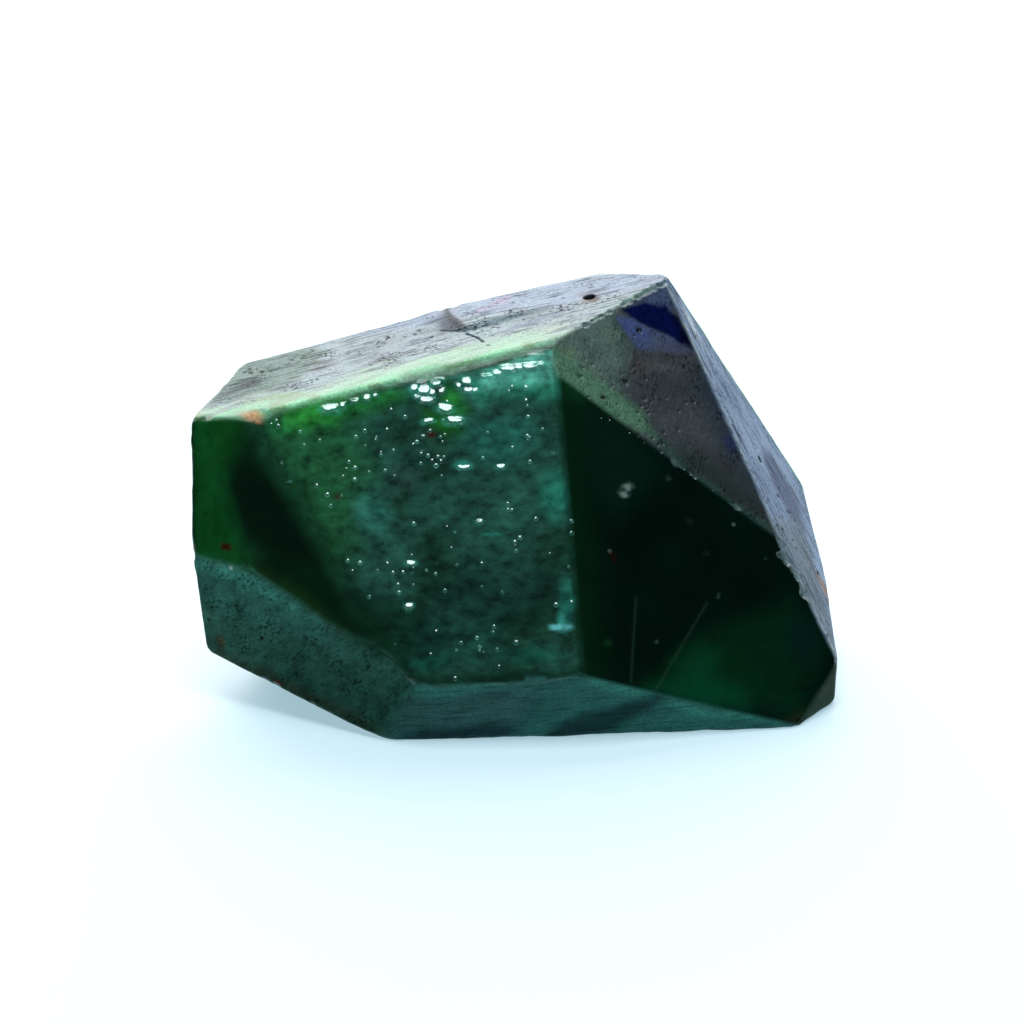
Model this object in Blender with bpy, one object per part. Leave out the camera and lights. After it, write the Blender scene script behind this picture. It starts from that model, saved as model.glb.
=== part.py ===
"""A rough tourmaline: one stone, ground by hand into flat facets with worn and chipped edges.

The stone is what is left of a block when every facet's plane has cut it. A plane is given
by the way that it faces and by its distance from the heart of the stone. Each edge is then
worn by one more plane, and chips, pits and a crack are cut out of what is left. Lengths are
in millimetres until they reach Blender, which works in metres. The stone lies on its base
facet, its front is towards -Y and its length lies along X.
"""
import math
from collections import namedtuple

import bmesh
import bpy
from mathutils import Euler, Matrix, Vector

MM = 0.001
PART = "rough_tourmaline"

# The block that the stone is ground from, and where the heart of the stone lies in the frame
BLOCK_SIDE = 80.0
HEART = Vector((-0.17, 0.55, 9.0))

# Colour and gloss of the ground stone
STONE_COLOUR = (0.012, 0.095, 0.055, 1.0)
STONE_ROUGHNESS = 0.35

# Each facet: degrees round from the front to the right, degrees up, and millimetres from the heart
Facet = namedtuple("Facet", "bearing rise reach")
FACETS = {
    "base": Facet(0.0, -90.0, HEART.z),
    "top": Facet(-69.5, 78.5, 11.4),
    "brow": Facet(-2.5, 48.0, 8.1),
    "front_left": Facet(-0.5, 37.0, 6.5),
    "front_right": Facet(21.5, 36.5, 7.25),
    "upper_right": Facet(28.0, 41.0, 8.05),
    "right": Facet(82.5, 31.5, 14.65),
    "left_cheek": Facet(-19.5, 25.5, 9.95),
    "left_end": Facet(-27.0, 22.0, 11.75),
    "skirt_left": Facet(-27.5, 7.0, 12.7),
    "skirt_front": Facet(1.5, -7.0, 12.35),
    "skirt_right": Facet(5.0, -8.0, 12.45),
    "corner": Facet(53.5, -2.5, 20.35),
    "right_foot": Facet(94.0, -2.5, 19.95),
    "under_right": Facet(113.5, -22.5, 18.6),
    "under_left": Facet(-62.5, -66.0, 13.25),
    "back_left": Facet(-118.5, -13.0, 15.1),
    "back": Facet(193.5, 8.0, 10.6),
    "back_middle": Facet(187.5, 2.0, 9.3),
    "back_right": Facet(160.5, 10.0, 12.95),
    "back_foot": Facet(182.0, -32.0, 10.75),
}

# Corners closer together than this are one corner
SHARED_CORNER = 0.02

# How wide an edge is worn: most edges, and the softer ones between two facets
EDGE_WEAR = 0.3
SOFT_WEAR = {
    ("left_cheek", "front_left"): 0.9,
    ("left_end", "left_cheek"): 0.9,
    ("left_cheek", "skirt_left"): 0.5,
    ("left_end", "skirt_left"): 0.5,
    ("top", "front_left"): 0.4,
    ("skirt_front", "skirt_right"): 0.6,
    ("front_left", "front_right"): 0.5,
}

# A chip is a scoop out of the edge that two facets share: how far along the edge, the radius
# of the scoop, how deep it bites and how many times longer than wide it is
Chip = namedtuple("Chip", "one other along radius bite stretch")
CHIPS = {
    "crumb_low": Chip("top", "upper_right", 8.6, 0.9, 0.16, 1.6),
    "crumb_middle": Chip("top", "upper_right", 10.9, 0.8, 0.20, 1.4),
    "crumb_high": Chip("top", "upper_right", 12.4, 1.0, 0.26, 1.3),
    "crumb_corner": Chip("top", "upper_right", 13.8, 0.9, 0.22, 1.2),
    "top_notch": Chip("top", "back_middle", 0.8, 2.6, 0.50, 1.0),
    "flank_chip": Chip("right", "front_right", 9.3, 1.6, 0.38, 1.9),
    "flank_nick": Chip("right", "front_right", 11.4, 0.8, 0.26, 1.4),
    "ledge_nick": Chip("upper_right", "front_right", 5.2, 0.9, 0.16, 1.8),
    "ledge_chip": Chip("upper_right", "front_right", 9.6, 1.2, 0.18, 2.0),
    "left_foot_chip": Chip("skirt_left", "under_left", -7.4, 1.1, 0.22, 1.8),
    "back_foot_chip": Chip("back_middle", "back_foot", 5.0, 2.6, 0.60, 1.7),
    "back_foot_nick": Chip("back_middle", "back_foot", -6.0, 1.9, 0.42, 1.4),
    "back_corner_chip": Chip("back_left", "back_middle", -1.5, 2.2, 0.50, 1.8),
    "back_edge_chip": Chip("back_middle", "back_right", 2.0, 2.0, 0.40, 1.6),
}

# A pit is a small hole in a facet: its place across and up the facet from the foot of the
# heart's perpendicular, its radius and its depth
Pit = namedtuple("Pit", "facet across up radius depth")
PITS = {
    "top_pit": Pit("top", -4.3, 9.2, 0.40, 0.34),
    "shoulder_pit": Pit("upper_right", 8.8, 8.7, 0.22, 0.16),
    "shoulder_pit_low": Pit("upper_right", 6.7, 5.7, 0.24, 0.16),
    "shoulder_pit_left": Pit("upper_right", 4.9, 5.0, 0.20, 0.14),
    "left_pit": Pit("left_cheek", -14.9, -3.6, 0.34, 0.24),
    "skirt_pit": Pit("skirt_left", -10.5, -5.8, 0.30, 0.20),
    "skirt_pit_left": Pit("skirt_left", -14.2, -4.6, 0.24, 0.16),
    "flank_pit": Pit("right", 4.8, -4.9, 0.36, 0.20),
    "back_pit": Pit("back_middle", 3.0, 4.0, 0.50, 0.30),
    "back_pit_low": Pit("back_middle", -5.0, -1.5, 0.38, 0.24),
}

# The crack across the top facet: where each stretch starts and ends, across and up the facet,
# its width and its depth
Stretch = namedtuple("Stretch", "start end width depth")
CRACK = {
    "crack_head": Stretch((-2.5, 1.8), (-4.5, 1.3), 0.30, 0.20),
    "crack_tail": Stretch((-4.2, 1.4), (-6.1, 0.3), 0.40, 0.26),
}

# The balls that cut the chips and pits, turned so that no corner of theirs meets an edge
CHIP_SEGMENTS, CHIP_RINGS = 20, 12
PIT_SEGMENTS, PIT_RINGS = 12, 8
BALL_TURN = Euler((math.radians(7.0), math.radians(11.0), math.radians(5.0)))
CRACK_SIDES = 4


def facing(facet):
    """The unit vector that a facet faces along."""
    bearing = math.radians(facet.bearing)
    rise = math.radians(facet.rise)
    level = math.cos(rise)
    return Vector((math.sin(bearing) * level, -math.cos(bearing) * level, math.sin(rise)))


def facet_axes(facet):
    """The directions across a facet and up it."""
    bearing = math.radians(facet.bearing)
    across = Vector((math.cos(bearing), math.sin(bearing), 0.0))
    return across, facing(facet).cross(across)


def facet_point(name, across, up):
    """A point on a facet, in millimetres from the heart."""
    facet = FACETS[name]
    across_way, up_way = facet_axes(facet)
    return facing(facet) * facet.reach + across_way * across + up_way * up


def edge_point(one, other, along):
    """A point on the edge of two facets, the way along that edge, and the way out of it."""
    normals = [facing(FACETS[one]), facing(FACETS[other])]
    way = normals[0].cross(normals[1]).normalized()
    planes = Matrix((normals[0], normals[1], way))
    point = planes.inverted() @ Vector((FACETS[one].reach, FACETS[other].reach, along))
    return point, way, (normals[0] + normals[1]).normalized()


def collection_named(name):
    """A new collection in the scene."""
    collection = bpy.data.collections.new(name)
    bpy.context.scene.collection.children.link(collection)
    return collection


def frame_on(point, forward, out):
    """A turn and a place: local X lies along forward, local Z points out."""
    side = out.cross(forward).normalized()
    turn = Matrix((forward, side, out)).transposed().to_4x4()
    return Matrix.Translation((HEART + point) * MM) @ turn


def add_cutter(name, primitive, place, collection, **shape):
    """Makes a primitive that is cut away from the stone, and hides it."""
    primitive(**shape)
    cutter = bpy.context.object
    cutter.name = name
    for holder in list(cutter.users_collection):
        holder.objects.unlink(cutter)
    collection.objects.link(cutter)
    cutter.data.transform(place)
    cutter.hide_render = True
    cutter.display_type = "WIRE"
    return cutter


def grind(body, out, reach):
    """Cuts off what lies beyond a plane, and closes the cut."""
    everything = body.verts[:] + body.edges[:] + body.faces[:]
    cut = bmesh.ops.bisect_plane(
        body, geom=everything, plane_co=out * reach * MM, plane_no=out, clear_outer=True)
    rim = [item for item in cut["geom_cut"] if isinstance(item, bmesh.types.BMEdge)]
    bmesh.ops.contextual_create(body, geom=rim)


def facet_of(face):
    """The name of the facet that a face belongs to."""
    return max(FACETS, key=lambda name: face.normal.dot(facing(FACETS[name])))


def edge_wear(edge):
    """The plane that wears an edge: it faces between the two facets, a little below the edge."""
    names = tuple(facet_of(face) for face in edge.link_faces)
    width = SOFT_WEAR.get(names, SOFT_WEAR.get(names[::-1], EDGE_WEAR))
    first, second = (face.normal for face in edge.link_faces)
    out = (first + second).normalized()
    drop = width / 2.0 * math.tan(first.angle(second) / 2.0)
    return out, out.dot(edge.verts[0].co) / MM - drop


def make_stone(collection):
    """The block, ground to its facets, with each edge worn."""
    body = bmesh.new()
    bmesh.ops.create_cube(body, size=BLOCK_SIDE * MM)
    for facet in FACETS.values():
        grind(body, facing(facet), facet.reach)
    body.normal_update()
    for out, reach in [edge_wear(edge) for edge in body.edges]:
        grind(body, out, reach)
    bmesh.ops.remove_doubles(body, verts=body.verts[:], dist=SHARED_CORNER * MM)
    mesh = bpy.data.meshes.new(PART)
    body.to_mesh(mesh)
    body.free()
    mesh.transform(Matrix.Translation(HEART * MM))
    stone = bpy.data.objects.new(PART, mesh)
    collection.objects.link(stone)
    return stone


def make_chips(collection):
    """Stretched balls, each sunk into its edge by the depth of its bite."""
    for name, chip in CHIPS.items():
        point, way, out = edge_point(chip.one, chip.other, chip.along)
        centre = point + out * (chip.radius - chip.bite)
        stretch = Matrix.Diagonal((chip.stretch, 1.0, 1.0, 1.0))
        add_cutter(
            name, bpy.ops.mesh.primitive_uv_sphere_add,
            frame_on(centre, way, out) @ stretch @ BALL_TURN.to_matrix().to_4x4(), collection,
            segments=CHIP_SEGMENTS, ring_count=CHIP_RINGS, radius=chip.radius * MM)


def make_pits(collection):
    """Small balls, each sunk into its facet by the depth of the pit."""
    for name, pit in PITS.items():
        facet = FACETS[pit.facet]
        across_way, _ = facet_axes(facet)
        out = facing(facet)
        centre = facet_point(pit.facet, pit.across, pit.up) + out * (pit.radius - pit.depth)
        add_cutter(
            name, bpy.ops.mesh.primitive_uv_sphere_add,
            frame_on(centre, across_way, out) @ BALL_TURN.to_matrix().to_4x4(), collection,
            segments=PIT_SEGMENTS, ring_count=PIT_RINGS, radius=pit.radius * MM)


def make_crack(collection):
    """Four-sided bars laid corner down along the crack, so that they cut a V-shaped groove."""
    out = facing(FACETS["top"])
    lay_down = Matrix.Rotation(math.radians(90.0), 4, "Y")
    for name, stretch in CRACK.items():
        start = facet_point("top", *stretch.start)
        end = facet_point("top", *stretch.end)
        section = Matrix.Diagonal((1.0, stretch.width / 2.0, stretch.depth, 1.0))
        place = frame_on((start + end) / 2.0, (end - start).normalized(), out) @ section @ lay_down
        add_cutter(
            name, bpy.ops.mesh.primitive_cylinder_add, place, collection,
            vertices=CRACK_SIDES, radius=MM, depth=(end - start).length * MM)


def stone_material():
    """Green tourmaline, ground with a coarse grit: a hard stone with a soft gloss."""
    material = bpy.data.materials.new("ground green tourmaline")
    material.use_nodes = True
    shader = material.node_tree.nodes["Principled BSDF"]
    shader.inputs["Base Color"].default_value = STONE_COLOUR
    shader.inputs["Roughness"].default_value = STONE_ROUGHNESS
    shader.inputs["Metallic"].default_value = 0.0
    return material


def main():
    for thing in list(bpy.data.objects):
        bpy.data.objects.remove(thing, do_unlink=True)
    part = collection_named(PART)
    cutters = collection_named("cutters")
    stone = make_stone(part)
    stone.data.materials.append(stone_material())
    make_chips(cutters)
    make_pits(cutters)
    make_crack(cutters)
    damage = stone.modifiers.new("chips, pits and crack", "BOOLEAN")
    damage.operation = "DIFFERENCE"
    damage.operand_type = "COLLECTION"
    damage.collection = cutters
    damage.solver = "EXACT"


main()
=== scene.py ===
# %% [markdown]
# # A rough tourmaline on a white table
# The stone is a dark green tourmaline with a blue corner. Somebody has ground it by hand into flat
# facets, which is how a cutter prepares rough before it becomes a gem. In this lesson it is built as
# one closed surface: a set of planes gives the facets, a formula rounds the edges between them, and
# small heights on top give the chips, pits, crack and ground skin.

# %% The frame
import math

import bpy
import numpy as np
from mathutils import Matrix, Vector
from mathutils.geometry import delaunay_2d_cdt


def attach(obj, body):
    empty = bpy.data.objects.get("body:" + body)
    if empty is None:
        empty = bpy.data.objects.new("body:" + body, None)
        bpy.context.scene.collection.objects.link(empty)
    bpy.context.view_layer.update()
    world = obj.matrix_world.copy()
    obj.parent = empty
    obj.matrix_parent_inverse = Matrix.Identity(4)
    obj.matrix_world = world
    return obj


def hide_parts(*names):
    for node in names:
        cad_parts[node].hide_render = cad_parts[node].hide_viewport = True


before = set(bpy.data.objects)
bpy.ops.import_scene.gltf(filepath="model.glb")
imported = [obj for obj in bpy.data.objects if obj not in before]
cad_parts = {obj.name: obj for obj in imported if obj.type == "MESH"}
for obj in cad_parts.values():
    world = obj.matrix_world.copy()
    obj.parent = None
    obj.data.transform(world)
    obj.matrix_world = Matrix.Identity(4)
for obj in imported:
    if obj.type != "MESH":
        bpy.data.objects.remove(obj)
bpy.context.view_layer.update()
MM = 0.001

# %% [markdown]
# ## Camera
# The photograph looks down on the stone by 25 degrees with a long lens, so its parallel edges stay
# nearly parallel. A lens of 205 mm on a 36 mm sensor, 360 mm away, gives the same picture.

# %% Camera
CAMERA_AIM = (-0.17, -3.45, 12.0)
CAMERA_RISE = math.radians(25.0)
CAMERA_DISTANCE = 360.0
CAMERA_LENS = 205.03


def aim(thing, place, target):
    """Puts a lamp or a camera at a place and turns it so that it looks at the target, both in mm."""
    place, target = Vector(place) * MM, Vector(target) * MM
    thing.location = place
    thing.rotation_euler = (target - place).to_track_quat("-Z", "Y").to_euler()


camera = bpy.data.objects.new("camera", bpy.data.cameras.new("camera"))
bpy.context.scene.collection.objects.link(camera)
camera.data.lens = CAMERA_LENS
camera.data.clip_start = 0.01
back_step = Vector((0.0, -math.cos(CAMERA_RISE), math.sin(CAMERA_RISE))) * CAMERA_DISTANCE
aim(camera, Vector(CAMERA_AIM) + back_step, CAMERA_AIM)
bpy.context.scene.camera = camera
print("camera at", [round(value, 4) for value in camera.location])

# %% [markdown]
# ## Facets
# A facet is a plane, given by the way that it faces and its distance from the heart of the stone:
# degrees round from the front to the right, degrees up, and millimetres. Modelling the facets as
# polygons would need every corner by hand. Planes need three numbers each, and their corners follow.

# %% The planes of the facets
HEART = np.array([-0.17, 0.55, 9.0])
FACETS = {
    "base": (0.0, -90.0, HEART[2]),
    "top": (-69.5, 78.5, 11.4),
    "brow": (-2.5, 48.0, 8.1),
    "front_left": (-0.5, 37.0, 6.5),
    "front_right": (21.5, 36.5, 7.25),
    "upper_right": (28.0, 41.0, 8.05),
    "right": (82.5, 31.5, 14.65),
    "left_cheek": (-19.5, 25.5, 9.95),
    "left_end": (-27.0, 22.0, 11.75),
    "skirt_left": (-27.5, 7.0, 12.7),
    "skirt_front": (1.5, -7.0, 12.35),
    "skirt_right": (5.0, -8.0, 12.45),
    "corner": (53.5, -2.5, 20.35),
    "right_foot": (94.0, -2.5, 19.95),
    "under_right": (113.5, -22.5, 18.6),
    "under_left": (-62.5, -66.0, 13.25),
    "back_left": (-118.5, -13.0, 15.1),
    "back": (193.5, 8.0, 10.6),
    "back_middle": (187.5, 2.0, 9.3),
    "back_right": (160.5, 10.0, 12.95),
    "back_foot": (182.0, -32.0, 10.75),
}
NAMES = list(FACETS)
NUMBER = {name: number for number, name in enumerate(NAMES)}
bearing, rise, REACH = np.array(list(FACETS.values())).T
bearing, rise = np.radians(bearing), np.radians(rise)
NORMAL = np.stack([np.sin(bearing) * np.cos(rise), -np.cos(bearing) * np.cos(rise), np.sin(rise)], 1)
ACROSS = np.stack([np.cos(bearing), np.sin(bearing), 0.0 * bearing], 1)
UP = np.cross(NORMAL, ACROSS)


def on_facet(name, across, up):
    """The point that lies so far across a facet and up it, in mm from the heart.

    The foot of the heart's perpendicular plus a step across and a step up."""
    number = NUMBER[name]
    foot = NORMAL[number] * REACH[number]
    return foot + np.multiply.outer(across, ACROSS[number]) + np.multiply.outer(up, UP[number])


print(len(NAMES), "facets")

# %% [markdown]
# Most marks on the stone are placed by their pixels in the photograph, because that is where they can
# be measured. The ray through a pixel meets the facet's plane at the place in mm.

# %% From the photograph onto a facet
PHOTO_SIDE, SENSOR = 1024.0, 36.0
LOOK = np.array([0.0, math.cos(CAMERA_RISE), -math.sin(CAMERA_RISE)])
SIDEWAYS, UPWARD = np.array([1.0, 0.0, 0.0]), np.array([0.0, math.sin(CAMERA_RISE), math.cos(CAMERA_RISE)])
EYE = np.array(CAMERA_AIM) - CAMERA_DISTANCE * LOOK - HEART


def seen(name, x, y):
    """The place across and up a facet, in mm, that the photograph shows at a pixel.

    The eye plus the pixel's ray, as far along as the plane's height over the eye needs."""
    number, step = NUMBER[name], SENSOR / CAMERA_LENS / PHOTO_SIDE
    ray = LOOK + (x - PHOTO_SIDE / 2.0) * step * SIDEWAYS + (PHOTO_SIDE / 2.0 - y) * step * UPWARD
    point = EYE + ray * (REACH[number] - NORMAL[number] @ EYE) / (NORMAL[number] @ ray)
    return np.array([point @ ACROSS[number], point @ UP[number]])


print("the pit on the top lies at", seen("top", 588, 297).round(2))

# %% [markdown]
# Three planes meet in a point. Of all such points, the stone's corners are the ones that no other
# plane cuts off. An edge is where two facets share two corners.

# %% Corners and edges
TINY = 1e-6
triples = np.array([(a, b, c) for a in range(len(NAMES)) for b in range(a) for c in range(b)])
solid = np.abs(np.linalg.det(NORMAL[triples])) > TINY
triples = triples[solid]
points = np.linalg.solve(NORMAL[triples], REACH[triples][..., None])[..., 0]
kept = (points @ NORMAL.T <= REACH + TINY).all(1)
CORNERS, CORNER_FACETS = points[kept], triples[kept]
MEETS = (CORNER_FACETS[:, :, None] == np.arange(len(NAMES))).any(1)

EDGES = {}
for one in range(len(NAMES)):
    for other in range(one):
        ends = np.flatnonzero(MEETS[:, one] & MEETS[:, other])
        if len(ends) == 2:
            EDGES[other, one] = ends
EDGE_PAIRS = np.array(list(EDGES))
EDGE_ANGLE = np.arccos((NORMAL[EDGE_PAIRS[:, 0]] * NORMAL[EDGE_PAIRS[:, 1]]).sum(1))


def on_edge(one, other, along):
    """The point on the edge of two facets, so far along it from the heart's nearest point.

    It lies on both planes and at that distance along the cross product of their normals."""
    a, b = NUMBER[one], NUMBER[other]
    way = np.cross(NORMAL[a], NORMAL[b])
    way = way / np.linalg.norm(way)
    planes = np.stack([NORMAL[a], NORMAL[b], way])
    return np.linalg.solve(planes, np.array([REACH[a], REACH[b], along]))


print(len(CORNERS), "corners and", len(EDGES), "edges")

# %% [markdown]
# ## Worn edges
# Grinding leaves sharp edges, and handling wears them round. A bevel modifier gives every edge the
# same clean strip. Here a smooth maximum of the planes does it: it equals the highest plane in the
# middle of a facet and bends from one to the next across an edge, over a width that wanders.

# %% Noise and the worn surface
LATTICE_SIDE = 32


def noise(at, size, seed):
    """Smooth random values from -1 to 1 that change over about the given size in mm.

    Random numbers on a cubic lattice, blended between its points by an ease curve."""
    lattice = np.random.default_rng(seed).uniform(-1.0, 1.0, (LATTICE_SIDE,) * 3)
    cell = np.floor(at / size).astype(int)
    part = at / size - cell
    part = part * part * (3.0 - 2.0 * part)
    total = 0.0
    for step in np.ndindex(2, 2, 2):
        share = np.where(step, part, 1.0 - part).prod(-1)
        total = total + share * lattice[tuple(((cell + step) % LATTICE_SIDE).T)]
    return total


# How wide an edge is worn round, in mm: the usual width, and that of each softer edge
EDGE_WEAR = 0.22
SOFT_WEAR = {
    ("left_cheek", "front_left"): 2.2,
    ("left_cheek", "left_end"): 1.2,
    ("left_cheek", "skirt_left"): 0.7,
    ("left_end", "skirt_left"): 0.6,
    ("front_left", "skirt_left"): 0.8,
    ("top", "front_left"): 0.4,
    ("skirt_left", "skirt_front"): 0.9,
    ("skirt_front", "skirt_right"): 1.2,
    ("front_left", "front_right"): 0.6,
    ("brow", "front_left"): 0.9,
}
soft = {frozenset(NUMBER[name] for name in pair): width for pair, width in SOFT_WEAR.items()}
WEAR = np.array([soft.get(frozenset(pair), EDGE_WEAR) for pair in EDGES])
# How soft the maximum is at each edge, and how many times that below it a plane stops counting
WEAR_SCALE = WEAR * np.sin(EDGE_ANGLE / 2.0) / math.log(4.0)
FADED = 12.0


def above_planes(at):
    """How far points lie above each facet's plane, in mm."""
    return at @ NORMAL.T - REACH


def worn(at, wander):
    """How far points lie outside the worn stone, and the way out of it.

    The highest plane, plus for each edge a share that fades as its second plane falls below."""
    heights = above_planes(at)
    highest = heights.max(1)
    own = NORMAL[heights.argmax(1)]
    lower = np.minimum(heights[:, EDGE_PAIRS[:, 0]], heights[:, EDGE_PAIRS[:, 1]]) - highest[:, None]
    point, edge = np.nonzero(lower > -FADED * WEAR_SCALE)
    scale = WEAR_SCALE[edge] * wander[point]
    lower = lower[point, edge] / scale
    one, other = EDGE_PAIRS[edge].T
    below = np.where(heights[point, one] < heights[point, other], one, other)
    turn = (NORMAL[below] - own[point]) / (1.0 + np.exp(-lower))[:, None]
    way = own + np.stack([np.bincount(point, part, len(at)) for part in turn.T], 1)
    out = highest + np.bincount(point, scale * np.log1p(np.exp(lower)), len(at))
    return out, way / np.linalg.norm(way, axis=1, keepdims=True)


def onto_worn(at):
    """Moves points along their rays from the heart onto the worn surface, by Newton steps."""
    ray = at / np.linalg.norm(at, axis=1, keepdims=True)
    wander = 1.0 + 0.45 * noise(at, 1.7, 11) + 0.25 * noise(at, 0.6, 12)
    for _ in range(4):
        out, way = worn(at, wander)
        at = at - ray * (out / (way * ray).sum(1))[:, None]
    return at, worn(at, wander)[1]


# %% [markdown]
# ## Chips and pits
# Balls cut them: a chip is given by its edge, the place along it, the ball's radius, the bite and how
# far the ball is stretched along the edge, a pit by its place, radius and depth, all in mm.

# %% Chips and pits
CHIPS = {
    "crumb_low": ("top", "upper_right", 8.6, 0.7, 0.10, 1.5),
    "crumb_middle": ("top", "upper_right", 10.9, 0.6, 0.12, 1.3),
    "crumb_high": ("top", "upper_right", 12.6, 0.7, 0.16, 1.3),
    "crumb_corner": ("top", "upper_right", 13.9, 0.6, 0.14, 1.2),
    "top_notch": ("top", "back_middle", 0.8, 2.6, 0.30, 1.0),
    "flank_chip": ("right", "front_right", 9.3, 1.6, 0.28, 1.9),
    "flank_nick": ("right", "front_right", 11.4, 0.8, 0.18, 1.4),
    "ledge_nick": ("upper_right", "front_right", 5.2, 0.6, 0.06, 1.8),
    "ledge_chip": ("upper_right", "front_right", 9.6, 0.8, 0.07, 2.0),
    "left_foot_chip": ("skirt_left", "under_left", -7.4, 1.1, 0.22, 1.8),
    "back_foot_chip": ("back_middle", "back_foot", 5.0, 2.6, 0.60, 1.7),
    "back_foot_nick": ("back_middle", "back_foot", -6.0, 1.9, 0.42, 1.4),
    "back_corner_chip": ("back_left", "back_middle", -1.5, 2.2, 0.50, 1.8),
    "back_edge_chip": ("back_middle", "back_right", 2.0, 2.0, 0.40, 1.6),
}
PITS = {
    "top_pit": ("top", -4.3, 9.2, 0.40, 0.34),
    "shoulder_pit": ("upper_right", 8.8, 8.7, 0.22, 0.16),
    "shoulder_pit_low": ("upper_right", 6.7, 5.7, 0.24, 0.16),
    "shoulder_pit_left": ("upper_right", 4.9, 5.0, 0.20, 0.14),
    "left_pit": ("left_cheek", -14.9, -3.6, 0.34, 0.08),
    "skirt_pit": ("skirt_left", -10.5, -5.8, 0.24, 0.08),
    "skirt_pit_left": ("skirt_left", -14.2, -4.6, 0.18, 0.06),
    "flank_pit": ("right", 4.8, -4.9, 0.36, 0.20),
    "back_pit": ("back_middle", 3.0, 4.0, 0.50, 0.30),
    "back_pit_low": ("back_middle", -5.0, -1.5, 0.38, 0.24),
}

# %% [markdown]
# The front facet is full of tiny bubbles, the shoulder is peppered with grains that broke out, and
# its edges crumble. The bubbles and glossy lumps that catch the light stand where the photograph has
# them. Seeded random numbers place the rest in loose clusters, because by hand they would look even.

# %% Bubbles, grains, crumbs and lumps
dice = np.random.default_rng(7)
BUBBLE_HEIGHT, GRAIN_DEPTH, CRUMB_DEPTH = 0.34, 0.45, 0.5


def scatter(name, x, y, wide, tall, count, sizes):
    """Random points in 3-D round a pixel's place on a facet, thinning outward, each with a radius."""
    place = seen(name, x, y) + dice.normal(0.0, 1.0, (count, 2)) * [wide, tall]
    return list(zip(on_facet(name, *place.T), dice.uniform(*sizes, count)))


def crumble(one, other, low, high, count, sizes):
    """Random points along an edge of two facets, each with a radius."""
    along = dice.uniform(low, high, count)
    return [(on_edge(one, other, place), dice.uniform(*sizes)) for place in along]


CLEAR_BUBBLES = [
    (273, 420), (275, 425), (266, 423), (278, 461), (316, 486), (327, 495), (330, 506), (349, 462),
    (355, 468), (355, 480), (356, 437), (365, 431), (381, 455), (376, 440), (387, 430), (405, 417),
    (413, 445), (417, 442), (430, 431), (423, 437), (428, 456), (432, 461), (438, 457), (441, 462),
    (436, 466), (512, 387), (526, 388), (526, 401), (528, 417), (527, 436), (530, 462), (483, 458),
    (508, 504), (508, 510), (536, 519), (520, 538), (515, 543), (516, 551), (482, 564), (479, 520),
    (414, 524), (387, 564), (347, 561), (351, 572), (359, 563), (393, 573), (398, 585), (399, 593),
    (445, 591), (367, 598), (436, 632), (494, 627), (461, 643), (477, 638), (499, 667), (516, 643),
    (572, 521), (572, 533), (572, 603), (556, 605), (455, 679), (447, 402), (300, 432), (391, 410)]
BUBBLES = []
for x, y in CLEAR_BUBBLES:
    BUBBLES += scatter("front_left", x, y, 0.0, 0.0, 1, (0.13, 0.19))
for x, y, wide, tall, count in ((420, 450, 1.6, 1.0, 16), (340, 470, 2.4, 1.4, 10), (530, 440, 1.0, 1.8, 8),
                                (410, 570, 1.8, 0.6, 12), (490, 560, 2.4, 1.6, 8), (470, 650, 2.8, 0.6, 8)):
    BUBBLES += scatter("front_left", x, y, wide, tall, count, (0.09, 0.13))
BUBBLE_GLINT_STRENGTH = dice.uniform(0.0, 1.0, len(BUBBLES)) ** 1.2
GRAINS = scatter("upper_right", 640, 410, 2.0, 1.6, 46, (0.07, 0.17))
GRAINS += scatter("upper_right", 600, 375, 1.4, 1.0, 20, (0.07, 0.15))
GRAINS += scatter("top", 480, 325, 1.0, 5.0, 30, (0.07, 0.14))
GRAINS += scatter("right", 790, 520, 1.2, 4.0, 22, (0.08, 0.20))
GRAINS += scatter("skirt_left", 240, 625, 2.4, 1.0, 18, (0.07, 0.17))
GRAINS += scatter("skirt_left", 310, 690, 3.0, 0.8, 22, (0.06, 0.14))
CRUMBS = crumble("top", "upper_right", 7.6, 14.6, 26, (0.12, 0.34))
CRUMBS += crumble("right", "front_right", 7.8, 12.2, 16, (0.12, 0.30))
CRUMBS += crumble("upper_right", "front_right", 4.0, 10.0, 9, (0.09, 0.18))
CRUMBS += crumble("skirt_left", "under_left", -9.0, 7.0, 16, (0.10, 0.26))
# Each lump: pixel, half width and half height in mm
LUMPS = [(330, 409, 0.62, 0.36), (342, 406, 0.22, 0.20), (354, 401, 0.30, 0.24), (366, 398, 0.34, 0.26),
         (375, 396, 0.18, 0.16), (414, 388, 0.30, 0.28), (418, 396, 0.26, 0.22), (424, 391, 0.48, 0.36),
         (427, 400, 0.56, 0.30), (432, 392, 0.30, 0.30), (436, 383, 0.42, 0.48), (441, 391, 0.26, 0.30),
         (445, 409, 0.56, 0.36), (454, 421, 0.62, 0.34), (428, 421, 0.42, 0.20), (458, 386, 0.22, 0.20),
         (466, 381, 0.40, 0.30), (468, 390, 0.38, 0.24), (475, 390, 0.22, 0.18), (464, 467, 0.44, 0.18),
         (501, 467, 0.32, 0.18), (411, 563, 0.34, 0.20), (479, 521, 0.26, 0.18), (409, 606, 0.26, 0.24),
         (484, 376, 0.26, 0.20), (490, 375, 0.26, 0.20), (497, 372, 0.36, 0.24), (508, 369, 0.62, 0.34),
         (519, 367, 0.44, 0.26), (531, 366, 0.64, 0.30), (542, 364, 0.24, 0.18)]
LUMPS = [(on_facet("front_left", *seen("front_left", x, y)), *size) for x, y, *size in LUMPS]
print(len(BUBBLES), "bubbles,", len(GRAINS), "grains and", len(CRUMBS), "crumbs")

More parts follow.
